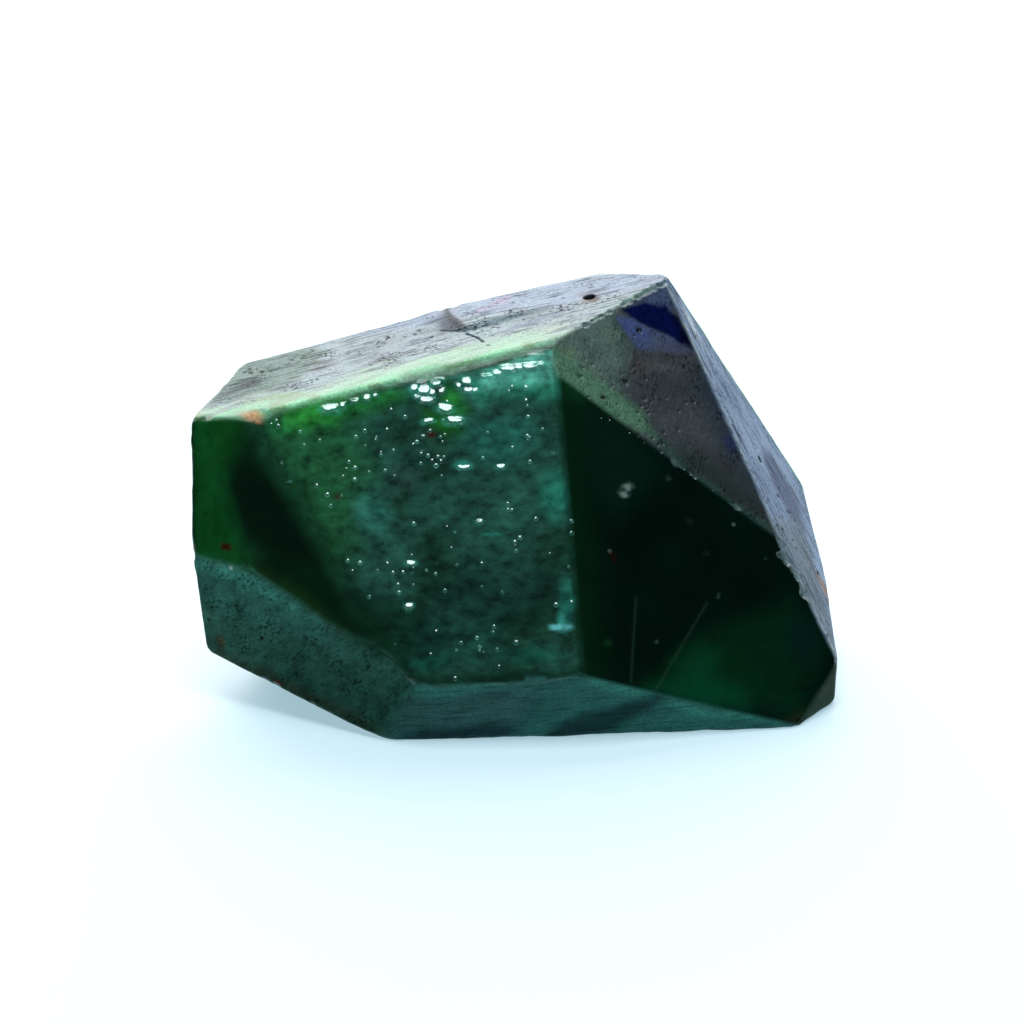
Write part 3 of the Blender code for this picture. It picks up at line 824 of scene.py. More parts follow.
WASHES = {
    "top": [
        ("#6e88a8", 0.8, 0.5, [(330, 338), (500, 285), (660, 270), (672, 285), (580, 300), (470, 320)]),
        ("#3a6658", 0.85, 0.4, [(205, 405), (232, 362), (290, 345), (330, 350), (300, 380), (240, 400)]),
        ("#24323a", 0.85, (250, 382, 0.8, 1.5, 0)),
        ("#303e46", 0.7, (230, 393, 0.5, 1.2, 0)),
        ("#404c5a", 0.7, (322, 367, 0.8, 1.5, 0)),
        ("#3c4856", 0.7, (378, 361, 0.6, 1.6, 0)),
        ("#4a5464", 0.6, (350, 347, 0.5, 0.6, 0)),
        ("#4a5464", 0.6, (382, 344, 0.5, 0.7, 0)),
        ("#465a84", 0.6, (545, 316, 0.4, 3.0, 0)),
        ("#445884", 0.7, (515, 328, 0.35, 3.4, 0)),
        ("#445884", 0.6, (420, 341, 0.5, 1.6, 0)),
        ("#a48cb4", 0.6, (500, 303, 0.9, 1.3, 0)),
        ("#a48cb4", 0.5, (482, 312, 0.6, 0.8, 0)),
        ("#a0948c", 0.5, (545, 330, 0.5, 2.0, 0)),
        # Painted shadow in and beside the crack
        ("#26344a", 0.8, 0.5, [(443, 308), (454, 318), (470, 330), (440, 335), (436, 328)]),
        ("#1c2634", 0.8, 0.2, [(443, 306), (451, 316), (466, 328), (457, 331), (446, 320)]),
        # Painted shade: a dark green spot at the back edge
        ("#22403c", 0.9, (500, 291, 0.5, 0.9, 0)),
        ("#4a2c24", 0.9, (590, 298, 1.25, 0.85, 0)),
    ],
    "brow": [
        # Painted highlight: the pale row along the brow
        ("#8ce4cc", 0.8, (520, 370, 0.5, 3.6, 90)),
        ("#0d3a1c", 0.8, (470, 362, 0.3, 3.0, 90)),
        # Painted glow: green where light comes through near the top edge
        ("#226a28", 0.8, (452, 384, 0.9, 0.6, 0)),
    ],
    "front_left": [
        # Painted glow: green where light comes through the thin upper left of the facet
        ("#28663a", 0.8, 1.4, [(250, 410), (350, 400), (370, 470), (345, 560), (320, 620), (290, 560)]),
        ("#0a2c1a", 0.7, 0.9, [(340, 590), (420, 600), (440, 650), (400, 680), (350, 640)]),
        ("#0d2c22", 0.6, 1.2, [(420, 570), (560, 560), (570, 620), (430, 640)]),
        ("#123e34", 0.5, 1.0, [(410, 625), (500, 620), (500, 670), (410, 670)]),
        # Lighter teal patches: partly the facet's own colour, partly a painted sheen that is brighter to the
        # right
        ("#387e6c", 0.8, (372, 512, 1.7, 2.4, 30)),
        ("#2a7264", 0.7, (500, 440, 3.4, 2.2, 10)),
        ("#2f8a72", 0.85, (556, 494, 1.3, 2.4, 0)),
        ("#2e8672", 0.7, (568, 600, 0.7, 2.4, 0)),
        # Painted highlight: the bright band just under the top edge
        ("#3a9c7c", 0.85, 0.6, [(462, 376), (560, 360), (566, 396), (530, 396), (500, 392), (478, 402)]),
        ("#70ccb4", 0.8, 0.4, [(476, 374), (560, 358), (565, 380), (520, 386), (484, 392)]),
        ("#2e463c", 0.6, (405, 478, 1.6, 1.4, 0)),
        ("#1a3832", 0.6, (440, 425, 1.4, 1.0, 0)),
        # Painted glow: bright green patches near the top edge, where light comes through the thin rim
        ("#2a8446", 0.8, (285, 424, 2.4, 0.9, 5)),
        ("#38a43c", 0.9, 0.8, [(284, 408), (320, 400), (342, 402), (332, 420), (300, 426), (286, 422)]),
        ("#24802e", 0.9, 0.7, [(330, 400), (398, 388), (404, 398), (360, 414), (330, 426), (322, 418)]),
        ("#2a8c36", 0.9, 0.5, [(446, 384), (460, 396), (468, 412), (452, 420), (440, 406)]),
        ("#236a24", 0.9, 0.5, [(424, 406), (448, 414), (462, 432), (446, 438), (426, 424)]),
        # Painted highlight: teal halos round the glinting lumps
        ("#3aa488", 0.6, (422, 393, 1.2, 0.7, -20)),
        ("#3aa488", 0.6, (470, 386, 0.9, 0.6, -20)),
        ("#5a180c", 0.9, (431, 434, 0.42, 0.30, 0)),
        ("#4a2a10", 0.7, (336, 496, 0.40, 0.30, 0)),
        # Painted glints: a bright fleck, a thin teal streak and the cyan highlight near the right edge
        ("#3c9c8c", 0.6, (463, 467, 0.9, 0.35, 0)),
        ("#3aa890", 0.5, (492, 536, 1.1, 0.14, 5)),
        ("#48b4a4", 0.8, (565, 622, 0.5, 0.9, 0)),
        ("#80e8e4", 0.9, (561, 627, 1.0, 0.26, 4)),
        ("#1a5e4a", 0.6, (430, 664, 2.6, 0.6, 5)),
        ("#185c4c", 0.6, (530, 655, 2.6, 1.0, 0)),
        ("#0c2c1c", 0.8, 0.3, [(400, 682), (480, 674), (585, 668), (585, 680), (480, 684), (410, 690)]),
        ("#e8b080", 0.9, (252, 419, 0.40, 0.26, 0)),
    ],
    "front_right": [
        ("#062a12", 0.8, 1.6, [(550, 335), (578, 372), (592, 540), (606, 700), (560, 690)]),
        ("#08261a", 0.8, 1.3, [(572, 390), (630, 425), (660, 470), (620, 520), (596, 500)]),
        ("#124020", 0.7, 0.6, [(552, 366), (566, 372), (590, 392), (580, 402), (560, 392)]),
        # Painted glow: green at the lower right, where light comes through the thinner part of the stone
        ("#052e18", 0.9, 1.0, [(640, 690), (702, 642), (735, 622), (790, 600), (822, 655), (790, 705),
                               (700, 702)]),
        ("#09482a", 0.7, 1.0, [(672, 660), (700, 642), (720, 655), (708, 672), (680, 672)]),
        ("#075236", 0.6, 0.9, [(650, 690), (700, 668), (740, 690), (745, 708), (700, 702)]),
        ("#04241e", 0.8, (800, 640, 2.0, 2.6, 0)),
        ("#1c1e0c", 0.8, (800, 716, 2.2, 0.7, 20)),
        # Painted glint: a small pale dot
        ("#8c988c", 0.9, (607, 550, 0.12, 0.12, 0)),
        ("#143c1e", 0.8, (607, 641, 0.40, 0.40, 0)),
        ("#3c5248", 0.7, (669, 480, 0.30, 0.22, 30)),
        # Painted glints: small pale flecks
        ("#7a8c80", 0.8, (730, 523, 0.12, 0.20, 30)),
        ("#5a7468", 0.8, (719, 594, 0.10, 0.30, 0)),
        ("#4a6458", 0.8, (658, 641, 0.18, 0.14, 0)),
        ("#30423e", 0.7, (766, 558, 0.14, 0.14, 0)),
        ("#1c2c26", 0.7, (707, 553, 0.36, 0.22, 0)),
        ("#1c2c26", 0.7, (690, 520, 0.28, 0.30, 0)),
    ],
    "upper_right": [
        ("#60766c", 0.85, 1.0, [(520, 320), (612, 300), (626, 350), (616, 392), (640, 425), (590, 420),
                                (530, 400)]),
        ("#588a68", 0.8, 0.5, [(540, 340), (562, 352), (604, 382), (640, 413), (652, 436), (600, 420),
                               (540, 390)]),
        ("#6a8070", 0.6, (612, 334, 0.9, 0.8, 0)),
        ("#54403c", 0.5, (640, 366, 1.2, 0.8, 0)),
        ("#5c5a5c", 0.5, (662, 368, 1.6, 0.6, -20)),
        ("#1a2a40", 0.8, 1.1, [(700, 352), (745, 445), (762, 500), (725, 450), (695, 390)]),
        ("#182a5c", 0.8, (731, 443, 0.7, 0.9, 0)),
        ("#142422", 0.85, 1.0, [(680, 440), (745, 480), (775, 530), (735, 510), (670, 470)]),
        ("#30604e", 0.5, 0.35, [(652, 432), (700, 475), (768, 525), (768, 532), (700, 486), (648, 440)]),
        ("#46547e", 0.8, 0.3, [(626, 310), (640, 298), (666, 282), (678, 306), (666, 312), (644, 304)]),
        ("#4a5682", 0.9, 0.16, [(615, 317), (633, 318), (660, 330), (684, 345), (697, 350), (699, 354),
                                (660, 350), (637, 350)]),
        ("#3a4a8c", 0.6, 0.4, [(618, 320), (634, 320), (650, 332), (636, 344)]),
        ("#4c4a56", 0.6, 0.5, [(660, 338), (684, 346), (697, 351), (699, 357), (668, 352), (650, 348)]),
        ("#0b1549", 1.0, 0.12, [(622, 312), (644, 303), (667, 307), (676, 316), (696, 346), (682, 344),
                                (660, 329)]),
        ("#010208", 0.9, 0.5, [(672, 314), (680, 320), (700, 354), (686, 346)]),
        ("#20282c", 0.8, (634, 358, 0.22, 0.9, -30)),
    ],
    "right": [
        # Painted sheen: a near-white band near the flank's upper edge
        ("#d4e0ea", 0.9, (692, 325, 0.7, 2.4, -18)),
        ("#2a3870", 0.85, 0.6, [(762, 450), (772, 453), (800, 505), (806, 532), (790, 515), (773, 485)]),
        ("#2c3850", 0.85, (812, 566, 0.7, 2.0, -18)),
        ("#4c5a84", 0.7, (742, 380, 0.4, 3.0, -18)),
        ("#38435e", 0.7, (722, 362, 0.3, 2.2, -18)),
        ("#242c40", 0.8, (802, 550, 0.8, 1.8, -18)),
        ("#566670", 0.7, 0.8, [(770, 520), (800, 520), (836, 640), (838, 662)]),
        ("#a8743c", 0.9, (827, 592, 0.9, 2.0, -10)),
        ("#4a200c", 0.9, (830, 606, 0.5, 1.3, -10)),
    ],
    "left_cheek": [
        # Painted glow: green at the upper left, where light comes through the thin end
        ("#14581f", 0.9, 1.3, [(185, 405), (245, 415), (225, 470), (190, 500)]),
        ("#05180f", 0.8, 1.3, [(240, 470), (300, 470), (330, 560), (300, 560), (240, 510)]),
        ("#1a4e2c", 0.8, 0.9, [(185, 515), (230, 528), (262, 555), (235, 560), (188, 552)]),
        ("#1c3c14", 0.8, 0.6, [(235, 552), (300, 590), (350, 640), (340, 646), (290, 606), (240, 572)]),
        ("#3c0e06", 1.0, (226, 546, 0.55, 0.42, 0)),
        ("#d89868", 0.9, (247, 418, 0.60, 0.24, 0)),
    ],
    "left_end": [
        ("#3c0e06", 1.0, (226, 546, 0.55, 0.42, 0)),
    ],
    "skirt_left": [
        ("#366a5c", 0.8, 0.9, [(185, 550), (300, 585), (340, 650), (250, 625), (195, 600)]),
        ("#489080", 0.85, 0.5, [(186, 553), (232, 562), (268, 580), (330, 630), (260, 592), (190, 566)]),
        ("#1e4238", 0.6, 1.2, [(290, 640), (390, 690), (400, 740), (370, 735), (280, 685)]),
        ("#2a261a", 0.6, 0.5, [(205, 640), (260, 668), (400, 735), (372, 738), (240, 672)]),
        ("#6a1410", 0.9, (276, 682, 0.35, 0.25, 0)),
        ("#4a3a20", 0.7, (222, 640, 0.5, 0.7, 0)),
        # Painted glint: a small white spot
        ("#f0f4ec", 0.9, (229, 567, 0.20, 0.16, 0)),
    ],
    "skirt_front": [
        ("#42887c", 0.8, 0.5, [(400, 686), (480, 678), (590, 674), (590, 684), (480, 690), (410, 698)]),
        ("#1a303a", 0.8, 0.5, [(400, 732), (520, 722), (600, 705), (640, 696), (560, 735), (400, 745)]),
        ("#52747a", 0.5, 0.10, [(418, 714), (470, 712), (520, 718), (470, 715)]),
        ("#44646c", 0.5, 0.10, [(430, 722), (500, 722), (560, 728), (500, 725)]),
    ],
    "skirt_right": [
        ("#4a9888", 0.8, 0.5, [(590, 674), (700, 706), (780, 722), (700, 716), (590, 684)]),
        ("#1a3038", 0.8, 0.5, [(560, 724), (655, 696), (672, 700), (600, 735), (540, 742)]),
        ("#20383e", 0.6, 0.4, [(600, 735), (700, 732), (780, 727), (700, 738), (600, 742)]),
    ],
}

# %% [markdown]
# The grinding marks lean in their own way on each facet, so the angle between them and the facet's
# upward way is noted, in degrees. Dirt has settled in rows between them on the top.

# %% How the grinding marks lean
MARKS_LEAN = {"top": 11.0, "right": 18.0, "upper_right": 35.0, "front_left": 85.0, "brow": 85.0,
              "back": 66.0, "back_middle": 74.0, "back_right": -24.0, "back_left": 30.0,
              "skirt_left": 60.0, "skirt_front": 88.0, "skirt_right": 86.0, "left_cheek": 40.0}
LEAN = np.radians([MARKS_LEAN.get(name, 0.0) for name in NAMES])
CLOUDY_WOBBLE, FINE_WOBBLE = 0.22, 0.08
# The cloud trait is how much painted sheen a facet has, as lighter and darker blotches of its colour
TRAITS = ("frost", "streak", "speck", "cloud", "shine")
FROST, STREAK, SPECK, CLOUD, SHINE = range(len(TRAITS))
# How much of the frost, streaks and specks stays on the top, away from its front rim and on it
GROUND_SKIN, GREEN_RIM = (0.8, 1.0, 1.0), (0.5, 0.15, 0.15)
# Rows of dark specks on the top, each between two pixels
DIRT_ROWS = [((296, 385), (440, 344)), ((460, 330), (590, 317)), ((466, 320), (640, 294)),
             ((232, 374), (345, 350)), ((380, 344), (440, 326))]
print(len(MARKS_LEAN), "facets have marks that lean")

# %% [markdown]
# Some marks follow an edge or need noise of their own, so they have a function for each facet. The
# ground skin on the top is thin near the front edge, and a green glow is painted there and along the
# flank's back edge, the light that comes through thin edges. Crumbs of pale and brown matter lie under
# the dark facet, and the blue zone is clear, without frost.

# %% Marks of single facets
BLUE_ZONE = [(622, 312), (644, 303), (667, 307), (700, 354), (682, 344), (660, 329)]


def lay(colour, code, mask):
    """Lays a colour over the colours of points, as strong as the mask says."""
    colour += mask[:, None] * (linear(code) - colour)


def finish_hidden(colour, table, place, at, seed):
    """Darker, paler and brown clouds on a facet that the photograph doesn't show."""
    lay(colour, "#0a2418", 0.6 * ease(0.45, 0.80, cloud(place, 5.0, 3.5, seed + 1)))
    lay(colour, "#3e6c62", 0.35 * ease(0.50, 0.85, cloud(place, 3.0, 2.2, seed + 2)))
    lay(colour, "#3a2c1a", 0.3 * ease(0.82, 0.95, cloud(place, 1.4, 1.4, seed + 3)))


def finish_top(colour, table, place, at, seed):
    """The top's front rim with its painted green glow, its stains and its rows of dirt, which also take its
    shine away.
    """
    table[:, SHINE] *= np.clip(colour.mean(1) / linear(SKIN["top"][0]).mean(), 0.3, 1.0)
    # The distance from the front edges in mm, made to wander, decides how strong the painted green glow of
    # the rim is
    front = np.minimum(edge_gap("top", "front_left", at), edge_gap("top", "brow", at))
    front = np.minimum(front, edge_gap("top", "left_cheek", at) + 0.6)
    front = np.minimum(front, edge_gap("top", "upper_right", at) + 1.5)
    front = front + 1.6 * (cloud(place, 0.5, 3.0, 41) - 0.5) + 0.7 * ease(-2.0, 8.0, place[:, 1])
    green = ease(2.5, 1.3, front)
    # Painted glow: pale green, brightest at the edge, where light comes through the thin rim
    lay(colour, "#7e9a86", 0.5 * ease(3.0, 2.2, front) * cloud(place, 1.0, 2.5, 43))
    lay(colour, "#8ab696", 0.85 * green)
    table[:, SHINE] *= 1.0 - 0.5 * green
    lay(colour, "#88d4a2", 0.8 * ease(1.1, 0.1, front))
    lay(colour, "#6c8454", 0.6 * green * ease(0.55, 0.75, cloud(place, 1.2, 1.2, 44)))
    lay(colour, "#8a6c40", 0.8 * spot("top", place, 548, 348, 0.5, 1.0, 0))
    lay(colour, "#70783c", 0.8 * spot("top", place, 437, 376, 1.0, 0.9, 0))
    lay(colour, "#e8b080", spot("top", place, 248, 415, 0.9, 1.0, 0))
    table[:, [FROST, STREAK, SPECK]] *= np.outer(1.0 - green, GROUND_SKIN) + np.outer(green, GREEN_RIM)
    for start, end in DIRT_ROWS:
        row = near_line(place, np.array([seen("top", *start), seen("top", *end)]))[0]
        table[:, SPECK] += 1.2 * ease(0.7, 0.1, row)


def finish_brow(colour, table, place, at, seed):
    """The narrow strip under the top: a pale edge, painted as the glow of light through the thin edge, then
    a dark green line.
    """
    below = edge_gap("brow", "top", at)
    lay(colour, "#7a9c84", 0.9 * ease(0.45, 0.25, below))
    lay(colour, "#39461c", 0.8 * ease(0.2, 0.4, below) * ease(0.7, 0.5, below))


def finish_front_right(colour, table, place, at, seed):
    """Two thin scratches, the pale crumbly inclusion and a brown stain in the dark facet."""
    steady = flat("front_right", at)
    for x, y, end_x, end_y in SCRATCHES:
        line = np.array([seen("front_right", x, y), seen("front_right", end_x, end_y)])
        lay(colour, "#3c5848", 0.24 * ease(0.11, 0.02, near_line(steady, line)[0]))
    crumbs = 0.3 + cloud(steady, 0.30, 0.24, 45)
    inclusion = crumbs * spot("front_right", place, 625, 492, 0.95, 0.85, 40)
    lay(colour, "#3e5048", 0.9 * ease(0.30, 0.60, inclusion))
    lay(colour, "#86988e", 0.9 * ease(0.60, 0.90, inclusion))
    stain = crumbs * spot("front_right", place, 612, 555, 0.34, 0.95, 8)
    lay(colour, "#220c06", 0.8 * ease(0.25, 0.7, stain))


def finish_upper_right(colour, table, place, at, seed):
    """The blue zone, clear and without frost, and a green stain at the left tip."""
    blue = patch("upper_right", place, 0.3, BLUE_ZONE)
    table[:, [FROST, CLOUD, SHINE]] *= 1.0 - 0.8 * blue[:, None]
    lay(colour, "#6c8c6c", 0.8 * spot("upper_right", place, 566, 352, 0.8, 0.7, 0))


def finish_right(colour, table, place, at, seed):
    """The flank: a painted green glow along its back edge, a pale worn front edge, and marks beside that."""
    # Painted glow: teal-green along the thin back edge, where light comes through
    lay(colour, "#5f9a90", 0.8 * ease(0.8, 0.1, edge_gap("right", "back_right", at)))
    front = np.minimum(edge_gap("right", "upper_right", at), edge_gap("right", "front_right", at))
    lay(colour, "#c0d0d0", 0.8 * ease(0.45, 0.15, front) * cloud(place, 0.3, 0.9, 46))
    table[:, [STREAK, SPECK]] += 0.9 * (ease(2.2, 0.8, front) * ease(0.2, 0.7, front))[:, None]


def finish_left_end(colour, table, place, at, seed):
    """A dark back edge."""
    lay(colour, "#030f08", 0.8 * ease(0.6, 0.0, edge_gap("left_end", "back_left", at)))


FINISH = {name: finish_hidden for name in HIDDEN}
FINISH.update(top=finish_top, brow=finish_brow, front_right=finish_front_right, right=finish_right,
              upper_right=finish_upper_right, left_end=finish_left_end)
# Where the top meets the front its frosted rim is dull on both sides
DULL_RIMS = {"top": ("front_left", "brow"), "brow": ("top",), "front_left": ("top",)}
print(len(FINISH), "facets have marks of their own")

# %% [markdown]
# A facet's colour is worked out in layers: its body with mist over it, its washes, and then its own
# marks. The places are shaken a little before the washes are read, so that their rims wander.

# %% Painting points of one facet
def paint(name, at):
    """Colour, frost, streaks, specks, clouds of painted sheen and shine of points on one facet, in one
    table.
    """
    place = flat(name, at)
    body, mist, *skin_values = SKIN.get(name, OTHER_SKIN)
    seed = 300 + 10 * NUMBER[name]
    colour = linear(body) + cloud(place, 2.4, 2.4, seed)[:, None] * (linear(mist) - linear(body))
    table = np.tile(skin_values, (len(place), 1))
    place = place + CLOUDY_WOBBLE * np.stack([noise(at, 1.5, 51), noise(at, 1.5, 52)], 1)
    place = place + FINE_WOBBLE * np.stack([noise(at, 0.4, 53), noise(at, 0.4, 54)], 1)
    for code, strength, *shape in WASHES.get(name, []):
        mask = patch(name, place, *shape) if len(shape) == 2 else spot(name, place, *shape[0])
        lay(colour, code, strength * mask)
    if name in FINISH:
        FINISH[name](colour, table, place, at, seed)
    for other in DULL_RIMS.get(name, ()):
        rim = ease(0.5, 0.25, edge_gap(name, other, at))
        table[:, SHINE] *= 1.0 - 0.7 * rim
        table[:, FROST] += rim * (0.9 - table[:, FROST])
    return np.column_stack([colour, table])


# %% [markdown]
# Colours run into each other at an edge: widely where the edge is worn round, hardly elsewhere.

# %% Painting the corners of the triangles
COLOURS = 3
# How wide colours run into each other, as a share of the edge's wear, and in mm at least
WIDTH_OF_WEAR, NARROWEST = 0.55, 0.16
# How strong the painted highlight halo round a lump is, and how much of its shine an underside loses
PAINTED_HALO_STRENGTH, DULL_UNDERSIDE = 0.6, 0.9
values = np.zeros((len(corner_at), COLOURS + len(TRAITS)))
for number, name in enumerate(NAMES):
    own = corner_facet == number
    values[own] = paint(name, corner_at[own])
painted_alone = values.copy()
for pair, width in zip(EDGE_PAIRS, np.maximum(WIDTH_OF_WEAR * WEAR, NARROWEST)):
    for one, other in (pair, pair[::-1]):
        gap = edge_gap(NAMES[one], NAMES[other], corner_at)
        near = (corner_facet == one) & (gap < width)
        if near.any():
            share_of_other = 0.5 * ease(width, 0.0, gap[near])[:, None]
            across_edge = paint(NAMES[other], corner_at[near])
            values[near] += share_of_other * (across_edge - painted_alone[near])
# Painted highlight: the teal halo round each lump's glint
glow = PAINTED_HALO_STRENGTH * painted_halo[faces.ravel()][:, None]
values[:, :COLOURS] += glow * (linear("#4cbc9c") - values[:, :COLOURS])
raised = ease(0.0, 0.02, bubble)[faces.ravel()]
shine = values[:, COLOURS + SHINE]
shine += raised * (1.0 - shine)
shine *= 1.0 - DULL_UNDERSIDE * underside[faces.ravel()]
print("colours on", len(values), "corners")

# %% [markdown]
# The material reads all this from the mesh, so each value becomes an attribute. Bubbles get a painted
# glint, a bright ring, and a map in mm runs along the grinding marks and beside them.

# %% Attributes for the material
# A bubble's painted glint ring, as shares of its radius
RING_RADIUS, RING_WIDTH = 0.66, 0.2
# How deep in mm a pit is fully dark, and a break fully pale
FULL_HOLLOW, FULL_BREAK = 0.10, 0.08


def put(name, kind, data):
    """Keeps values for each triangle corner as an attribute that the material can read."""
    attribute = mesh.attributes.new(name, kind, "CORNER")
    field = "color" if kind == "FLOAT_COLOR" else "value"
    attribute.data.foreach_set(field, np.ascontiguousarray(data, np.float32).ravel())


put("body_colour", "FLOAT_COLOR", np.column_stack([values[:, :COLOURS], np.ones(len(values))]))
for column, name in enumerate(TRAITS, COLOURS):
    put(name, "FLOAT", values[:, column])
put("hollow", "FLOAT", np.clip(depth / FULL_HOLLOW, 0.0, 1.0)[faces.ravel()])
put("broken", "FLOAT", np.clip(broken / FULL_BREAK, 0.0, 1.0)[faces.ravel()])
# Painted glints: a bright ring on each bubble, some brighter than others
painted_glint_rings = np.zeros(len(points))
for (place, radius), glow in zip(BUBBLES, BUBBLE_GLINT_STRENGTH):
    away = np.linalg.norm(points - place, axis=1) / radius
    painted_glint_rings = np.maximum(painted_glint_rings, glow * np.exp(-(((away - RING_RADIUS) / RING_WIDTH) ** 2)))
put("bubble_glint_ring", "FLOAT", painted_glint_rings[faces.ravel()])
turned = LEAN[corner_facet]
across = (corner_at * ACROSS[corner_facet]).sum(1)
up = (corner_at * UP[corner_facet]).sum(1)
beside = across * np.cos(turned) - up * np.sin(turned)
along = across * np.sin(turned) + up * np.cos(turned)
uv = mesh.uv_layers.new(name="marks_mm")
uv.data.foreach_set("uv", np.column_stack([beside, along]).astype(np.float32).ravel())
print("attributes:", ", ".join(attribute.name for attribute in mesh.attributes))

# %% [markdown]
# ## Material
# Ground tourmaline is a glass of index 1.63 with a frosted skin. Light that enters is taken up within
# a few millimetres, red first, so the stone is nearly black where it is thick and green at thin
# corners. About a fifth of the light goes through, and the rest is scattered back by the painted skin.

# %% Material
material = bpy.data.materials.new("ground_green_tourmaline")
material.use_nodes = True
tree = material.node_tree
shader = tree.nodes["Principled BSDF"]


def node(kind, settings=None, **inputs):
    """Adds a node with its settings, and fills or links its inputs by name, or i and a number."""
    added = tree.nodes.new(kind)
    for key, value in (settings or {}).items():
        setattr(added, key, value)
    for key, value in inputs.items():
        socket = added.inputs[int(key[1:]) if key[0] == "i" and key[1:].isdigit() else key.replace("_", " ")]
        if isinstance(value, bpy.types.NodeSocket):
            tree.links.new(value, socket)
        else:
            socket.default_value = value
    return added


def colour(code):
    """An sRGB hex colour as a node socket takes it."""
    return (*linear(code), 1.0)


MULTIPLY, ADD, MULTIPLY_ADD = ({"operation": word} for word in ("MULTIPLY", "ADD", "MULTIPLY_ADD"))
MIX_COLOURS, MIX_NUMBERS = {"data_type": "RGBA"}, {"data_type": "FLOAT"}
SMOOTH = {"interpolation_type": "SMOOTHSTEP"}
body = node("ShaderNodeAttribute", {"attribute_name": "body_colour"}).outputs["Color"]
given = {name: node("ShaderNodeAttribute", {"attribute_name": name}).outputs["Fac"]
         for name in (*TRAITS, "hollow", "broken", "bubble_glint_ring")}
marks_mm = node("ShaderNodeUVMap", {"uv_map": "marks_mm"}).outputs["UV"]
# Each pattern: size beside the marks and along them in mm, octaves
PATTERNS = {"long_mark": (0.20, 2.6, 3.0), "short_mark": (0.15, 0.34, 2.0), "grain": (0.14, 0.20, 3.0),
            "billow": (0.75, 1.10, 5.0), "smudge": (1.2, 2.0, 3.0), "ripple": (0.32, 0.90, 2.0)}
pattern = {}
for name, (wide, tall, octaves) in PATTERNS.items():
    scaled = node("ShaderNodeMapping", Vector=marks_mm, Scale=(1.0 / wide, 1.0 / tall, 1.0)).outputs[0]
    noisy = node("ShaderNodeTexNoise", Vector=scaled, Scale=1.0, Detail=octaves, Roughness=0.6)
    pattern[name] = noisy.outputs["Fac"]
print(len(pattern), "patterns in mm along the grinding marks")

# %% [markdown]
# The skin's colour starts from the painted one. Grains and clouds of painted sheen make it uneven, dirt
# lies in the marks, fresh breaks are pale, pits are dark, and a bubble gets a painted glint, a thin bright
# ring.

# %% Skin colour
# How bright the skin is under dirt, how dark a pit gets, and how much of a bubble's painted glint ring shows
DIRT_SHADE, PIT_SHADE, GLINT_RING_SHARE = 0.2, 0.85, 0.8
# Frosted skin: each grain is a little lighter or darker
grain_gain = node("ShaderNodeMapRange", Value=pattern["grain"], From_Min=0.25, From_Max=0.75,
                  To_Min=0.45, To_Max=1.55).outputs[0]
gain = node("ShaderNodeMix", MIX_NUMBERS, Factor=given["frost"], i2=1.0, i3=grain_gain).outputs[0]
# Painted sheen: in soft clouds the skin colour is made lighter and darker, like the patchy shine of a glossy
# facet
sheen_billow_gain = node("ShaderNodeMapRange", Value=pattern["billow"], From_Min=0.30, From_Max=0.70,
                   To_Min=0.35, To_Max=1.85).outputs[0]
painted_sheen_gain = node("ShaderNodeMix", MIX_NUMBERS, Factor=given["cloud"], i2=1.0, i3=sheen_billow_gain).outputs[0]
gain = node("ShaderNodeMath", MULTIPLY, i0=gain, i1=painted_sheen_gain).outputs[0]
lively = node("ShaderNodeVectorMath", {"operation": "SCALE"}, i0=body, Scale=gain).outputs[0]
# Dark marks: dirt in long grinding marks and in short nicks, thicker in some parts than in others
long_dirt = node("ShaderNodeMapRange", SMOOTH, Value=pattern["long_mark"],
                 From_Min=0.48, From_Max=0.66, To_Max=0.85).outputs[0]
long_dirt = node("ShaderNodeMath", MULTIPLY, i0=long_dirt, i1=given["streak"]).outputs[0]
dirty_part = node("ShaderNodeMapRange", SMOOTH, Value=pattern["smudge"],
                  From_Min=0.42, From_Max=0.62).outputs[0]
short_dirt = node("ShaderNodeMapRange", SMOOTH, Value=pattern["short_mark"],
                  From_Min=0.50, From_Max=0.60).outputs[0]
short_dirt = node("ShaderNodeMath", MULTIPLY, i0=short_dirt, i1=dirty_part).outputs[0]
short_dirt = node("ShaderNodeMath", MULTIPLY, i0=short_dirt, i1=given["speck"]).outputs[0]
dirt = node("ShaderNodeMath", {"operation": "MAXIMUM"}, i0=long_dirt, i1=short_dirt).outputs[0]
dark_marks = node("ShaderNodeVectorMath", {"operation": "SCALE"}, i0=lively, Scale=DIRT_SHADE).outputs[0]
skin_colour = node("ShaderNodeMix", MIX_COLOURS, i0=dirt, i6=lively, i7=dark_marks).outputs[2]
# Breaks, pits and rings lie over the rest
crumbly = node("ShaderNodeMapRange", Value=pattern["grain"], From_Min=0.25, From_Max=0.75,
               To_Min=0.25, To_Max=0.6).outputs[0]
pale_break = node("ShaderNodeMath", MULTIPLY, i0=given["broken"], i1=crumbly).outputs[0]
skin_colour = node("ShaderNodeMix", MIX_COLOURS, i0=pale_break, i6=skin_colour,
                   i7=colour("#74908c")).outputs[2]
deep = node("ShaderNodeMath", MULTIPLY, i0=given["hollow"], i1=PIT_SHADE).outputs[0]
skin_colour = node("ShaderNodeMix", MIX_COLOURS, i0=deep, i6=skin_colour, i7=colour("#0a0d0c")).outputs[2]
# Painted highlight: each bubble's glint laid over the skin as a thin bright ring
ring = node("ShaderNodeMath", MULTIPLY, i0=given["bubble_glint_ring"], i1=GLINT_RING_SHARE).outputs[0]
skin_colour = node("ShaderNodeMix", MIX_COLOURS, i0=ring, i6=skin_colour, i7=colour("#7fd8c0")).outputs[2]
tree.links.new(skin_colour, shader.inputs["Base Color"])
print("skin colour with", len(tree.nodes), "nodes so far")

